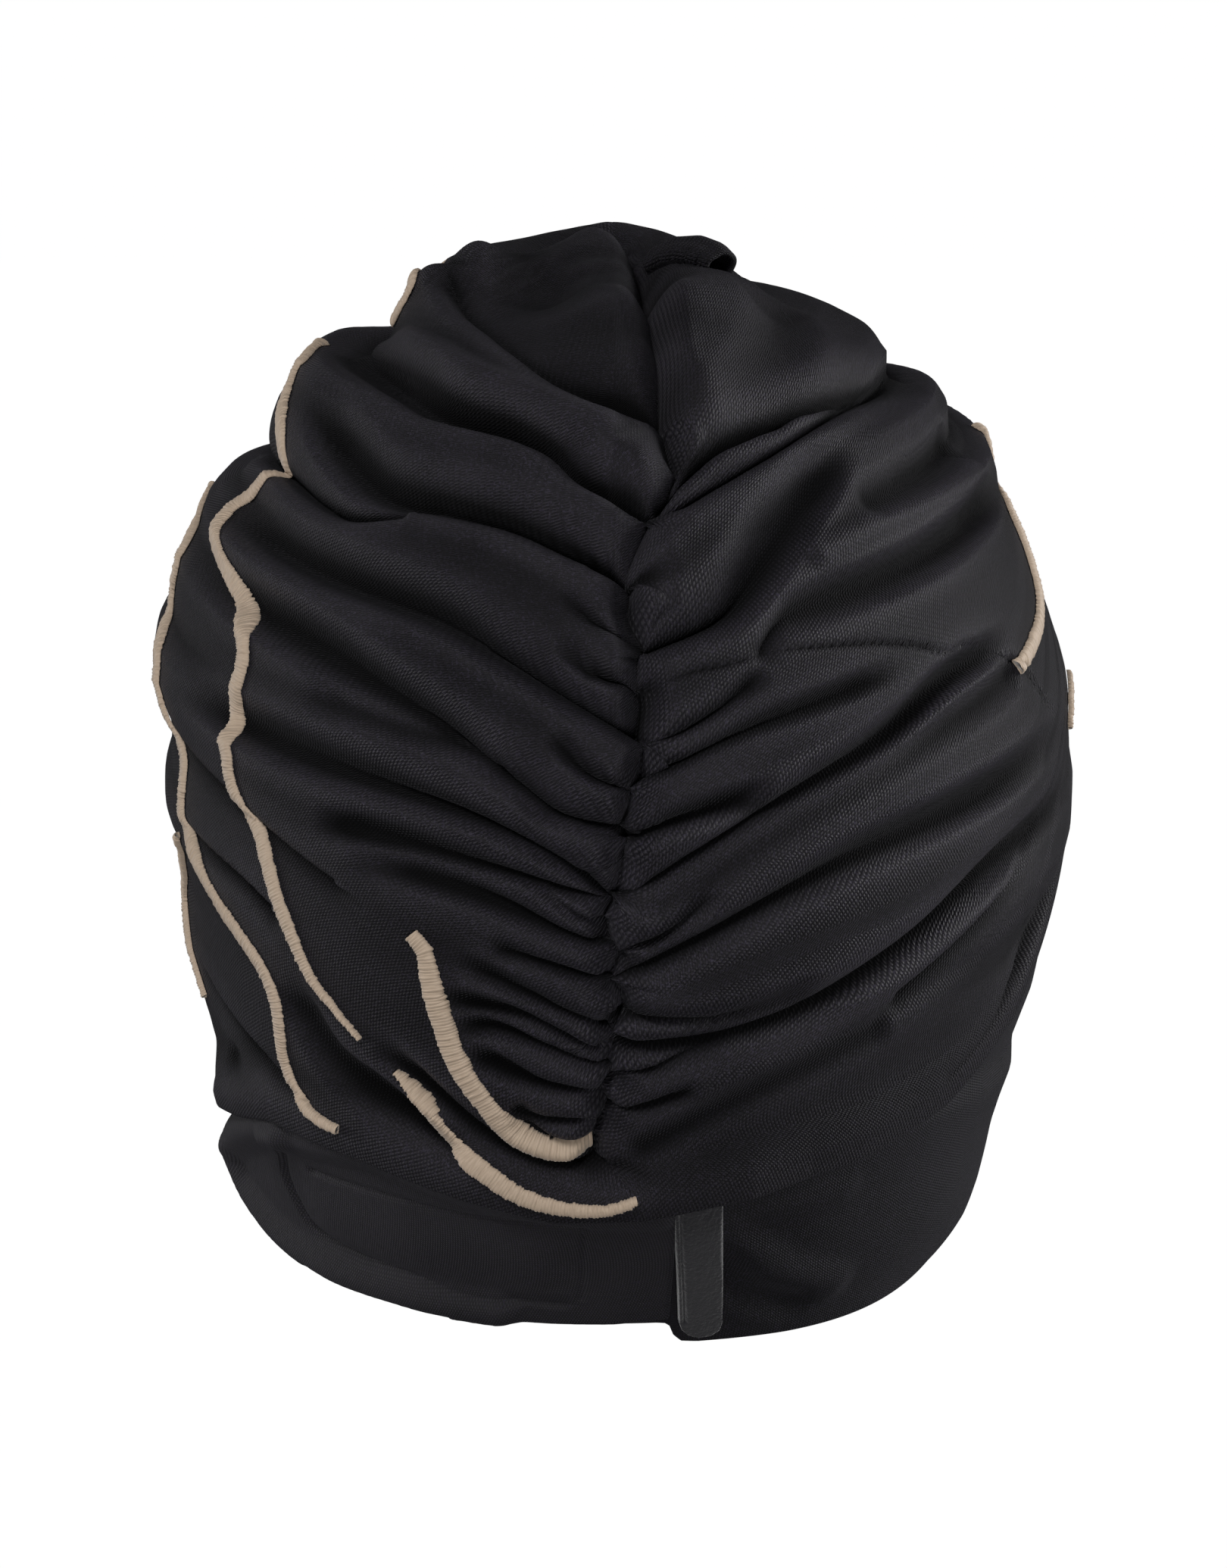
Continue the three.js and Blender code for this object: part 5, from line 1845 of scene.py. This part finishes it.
@dataclass
class StitchedLine(Piece):
    """A line of satin stitch: strands laid side by side across the line.

    Its ribbon has a place across at each of beside, and each strand ends raggedly. The line
    bridges the cloth's dips over the length stiff to each side, in millimetres.
    """

    widths: tuple[float, ...]
    path: Path
    rib_pitch: float = 0.62
    rib_steps: int = 4
    fewest_ribs: int = 6
    seed_step: int = 7
    path_steps: int = 12
    crest_gap: float = 0.5
    beside: tuple[float, ...] = (-1, -0.86, -0.6, -0.3, 0, 0.3, 0.6, 0.86, 1)
    ragged: float = 0.11
    uneven: float = 0.12
    notch: float = 0.16
    height: float = 0.95
    crown_power: float = 2.6
    groove: float = 0.18
    rest: float = 0.12
    edge_wall: float = 0.12
    under: float = 0.02
    upright: float = 1.5
    stiff: float = 1.8

    def build(self, surface: FoldedSurface) -> bpy.types.Object:
        """Builds the line as a closed ribbed ribbon that follows the cloth.

        Args:
            surface: The folded surface.

        Returns:
            The object.
        """
        form = surface.form
        places = curve_through(self.path, self.path_steps)
        spine = form.point(places[:, 0], np.clip(places[:, 1], 0, form.crest - self.crest_gap))
        passed = lengths(spine)
        ribs = max(self.fewest_ribs, round(passed[-1] / self.rib_pitch))
        stations = np.linspace(0, passed[-1], ribs * self.rib_steps + 1)
        spine = np.stack([np.interp(stations, passed, column) for column in spine.T], -1)
        tangent = unit(np.gradient(spine, axis=0))
        across = unit(np.cross(tangent, form.normal(*form.read(spine))))
        share = stations / passed[-1]
        half = np.interp(share, np.linspace(0, 1, len(self.widths)), self.widths) / 2
        step = np.arange(len(stations))
        rib = np.minimum(step // self.rib_steps, ribs - 1)
        tooth = np.sin(math.pi * ((step % self.rib_steps) / self.rib_steps))
        random = np.random.default_rng(len(self.path) * self.seed_step + ribs)
        ragged = random.normal(0, self.ragged, (ribs, 2))[rib]
        thick = 1 + random.uniform(-self.uneven, self.uneven, ribs)[rib]
        beside = np.array(self.beside)
        reach = half[:, None] + np.where(beside < 0, ragged[:, :1], ragged[:, 1:])
        reach = reach - self.notch * (1 - tooth[:, None])
        spots = spine[:, None] + across[:, None] * (beside * reach)[..., None]
        turns, heights = form.read(spots)
        away = form.normal(turns, heights)
        ground = self.ease(spots, surface.place(turns, heights), away)
        normal = unit(np.cross(np.gradient(ground, axis=1), np.gradient(ground, axis=0)))
        facing = (normal * away).sum(-1, keepdims=True)
        normal = unit(normal * np.sign(facing) + self.upright * away)
        crown = np.sqrt(np.clip(1 - np.abs(beside) ** self.crown_power, 0, 1)) * thick[:, None]
        worn = 1 - self.groove + self.groove * tooth[:, None]
        tall = self.rest + self.height * crown * worn + self.edge_wall
        lower = ground[:, ::-1] + normal[:, ::-1] * self.under
        loop = np.concatenate([ground + normal * tall[..., None], lower], 1)
        down = np.concatenate([beside, beside[::-1]]) * 2
        cloth = np.stack(np.broadcast_arrays(stations[:, None], down[None]), -1)
        shell, is_turned = Shell(form.seat), self.is_turned(loop)
        ids = shell.add(loop, cloth)
        shell.skin(closed(ids), is_turned)
        shell.fan(ids[0], is_turned)
        shell.fan(ids[-1], not is_turned)
        return shell.mesh(self.name)

    def ease(self, spots: Array, ground: Array, normal: Array) -> Array:
        """Lets the stiff line bridge small dips in the cloth, without sinking into a ridge.

        Args:
            spots: Places of the ribbon on the form.
            ground: The same places on the cloth.
            normal: The form's normals there.

        Returns:
            The places that the ribbon lies on.
        """
        reach = round(self.stiff * self.rib_steps / self.rib_pitch)
        padded = np.pad(ground - spots, ((reach, reach), (0, 0), (0, 0)), mode="edge")
        eased = spots + np.mean([padded[i : i + len(ground)] for i in range(2 * reach + 1)], axis=0)
        above = ((ground - eased) * normal).sum(-1, keepdims=True)
        return eased + normal * np.maximum(above, 0)

    @staticmethod
    def is_turned(loop: Array) -> bool:
        """Tells which way round the ribbon's sections run.

        Args:
            loop: Closed sections, one for each station of the line.

        Returns:
            True where the faces have to look the other way.
        """
        middle = loop.mean(1, keepdims=True)
        ahead = np.gradient(middle, axis=0)
        around = np.cross(loop[:, :-1] - middle, loop[:, 1:] - middle)
        return bool((around * ahead).sum() > 0)


@dataclass
class Studio:
    """The pale sweep, the soft lights and the camera. Places and sizes are in metres."""

    distance: float = 0.92
    elevation: float = 10.0
    aim_height: float = -0.1091
    lens: float = 100.0
    sensor: float = 36.0
    floor: float = -0.62
    surround: float = 0.04

    def aim(self, name: str, data: bpy.types.ID, place: Vector, way: Vector) -> bpy.types.Object:
        """Puts a camera or a lamp in the scene.

        Args:
            name: Name of the object.
            data: The camera or the light.
            place: Where it stands.
            way: Which way it looks.

        Returns:
            The object.
        """
        obj = bpy.data.objects.new(name, data)
        obj.location = place
        obj.rotation_mode = "QUATERNION"
        obj.rotation_quaternion = way.to_track_quat("-Z", "Y")
        bpy.context.scene.collection.objects.link(obj)
        return obj

    def camera(self) -> None:
        """Sets the camera behind the cap, a little above it."""
        angle = math.radians(self.elevation)
        back = Vector((0, -math.cos(angle), math.sin(angle)))
        data = bpy.data.cameras.new("camera")
        data.lens, data.sensor_fit, data.sensor_height = self.lens, "VERTICAL", self.sensor
        place = Vector((0, 0, self.aim_height)) + back * self.distance
        bpy.context.scene.camera = self.aim("camera", data, place, -back)

    def sweep(self) -> None:
        """Lays the pale floor and the white dome over it, which only the camera sees."""
        material = SWEEP.material()
        floor = {"vertices": 96, "radius": 12, "fill_type": "NGON"}
        dome = {"segments": 48, "ring_count": 24, "radius": 11.5}
        for name, add, shape in (
            ("studio_floor", bpy.ops.mesh.primitive_circle_add, floor),
            ("studio_dome", bpy.ops.mesh.primitive_uv_sphere_add, dome),
        ):
            bpy.ops.object.select_all(action="DESELECT")
            add(location=(0, 0, self.floor), **shape)
            obj = bpy.context.active_object
            obj.name = name
            obj.data.materials.append(material)
            obj.visible_diffuse = obj.visible_glossy = obj.visible_shadow = False
            obj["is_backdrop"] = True

    def lights(self) -> None:
        """Hangs the soft square lights, aimed at the cap, and sets the white surround."""
        for name, place, size, power in LAMPS:
            data = bpy.data.lights.new(name, "AREA")
            data.shape, data.size, data.energy = "SQUARE", size, power
            self.aim(name, data, Vector(place), Vector((0, 0, self.aim_height)) - Vector(place))
        world = bpy.data.worlds.new("white_surround")
        world.use_nodes = True
        surround = world.node_tree.nodes["Background"]
        feed(world.node_tree, surround, {"Color": linear(0xFFFFFF), "Strength": self.surround})
        bpy.context.scene.world = world
        bpy.context.scene.view_settings.view_transform = "Standard"


def pieces() -> list[tuple[Piece, bpy.types.Material]]:
    """Lists the cap's pieces in the order in which they are built.

    Returns:
        Each piece with its material.
    """
    band = ("band_cloth",)
    drape_cloth, band_cloth = DRAPE_TRICOT.material(), BAND_TRICOT.material()
    thread, tape, strap_cloth = THREAD.material(), TAPE.material(), STRAP_TRICOT.material()
    half = Flat(0.3, 0.2, 0.05, "gathered")
    rim = Flat(0.56, 0.08, 0.03, "stretched")
    fold = Flat(0.024, 0.019, 0.00044, "folded")
    strap = Patch(
        "strap_cloth", "nape_strap", "strap_tricot", Flat(0.112, 0.041, 0.0045, "stretched"), band,
        STRAP, 1.7, 1.8, 190, 90, STRAP_SWELLS, STRAP_CREASES,
    )  # fmt: skip
    tab = Patch(
        "tab_tape", "strap_tab", "hook_tape", Flat(0.011, 0.034, 0.00037, "laid"), band,
        TAB, 2.0, 1.0, 40, 110, (), TAB_CREASES, lean=0.08,
    )  # fmt: skip
    return [
        (RimBand("band_cloth", "rim_band", "band_tricot", rim, ()), band_cloth),
        (Drape("wrap_left", "left_drape", "drape_tricot", half, band, -1), drape_cloth),
        (Drape("wrap_right", "right_drape", "drape_tricot", half, band, 1), drape_cloth),
        (CrownPleat("crown_pleat", "", "drape_tricot", fold, ("wrap_right",)), drape_cloth),
        (strap, strap_cloth),
        (tab, tape),
        *(
            (StitchedLine(name, node, "stitch_thread", None, (), widths, path), thread)
            for name, node, widths, path in LINES
        ),
    ]


def main() -> None:
    """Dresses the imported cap, lights it and reports the pieces."""
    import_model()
    studio = Studio()
    studio.camera()
    studio.sweep()
    studio.lights()
    form = HeadForm()
    surface = FoldedSurface(form)
    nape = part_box("rim_band")[0].z / MM + form.seat
    LOG.info("the packed band's edge lies %.2f mm from the nape edge", nape)
    for piece, material in pieces():
        piece.dress(piece.build(surface), material)
    shown = [list(corner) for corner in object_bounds()]
    for axis, low, high in zip("xyz", *shown):
        LOG.info("%s from %.4f to %.4f m", axis, low, high)


if __name__ == "__main__":
    logging.basicConfig(level=logging.INFO, format="%(message)s")
    main()
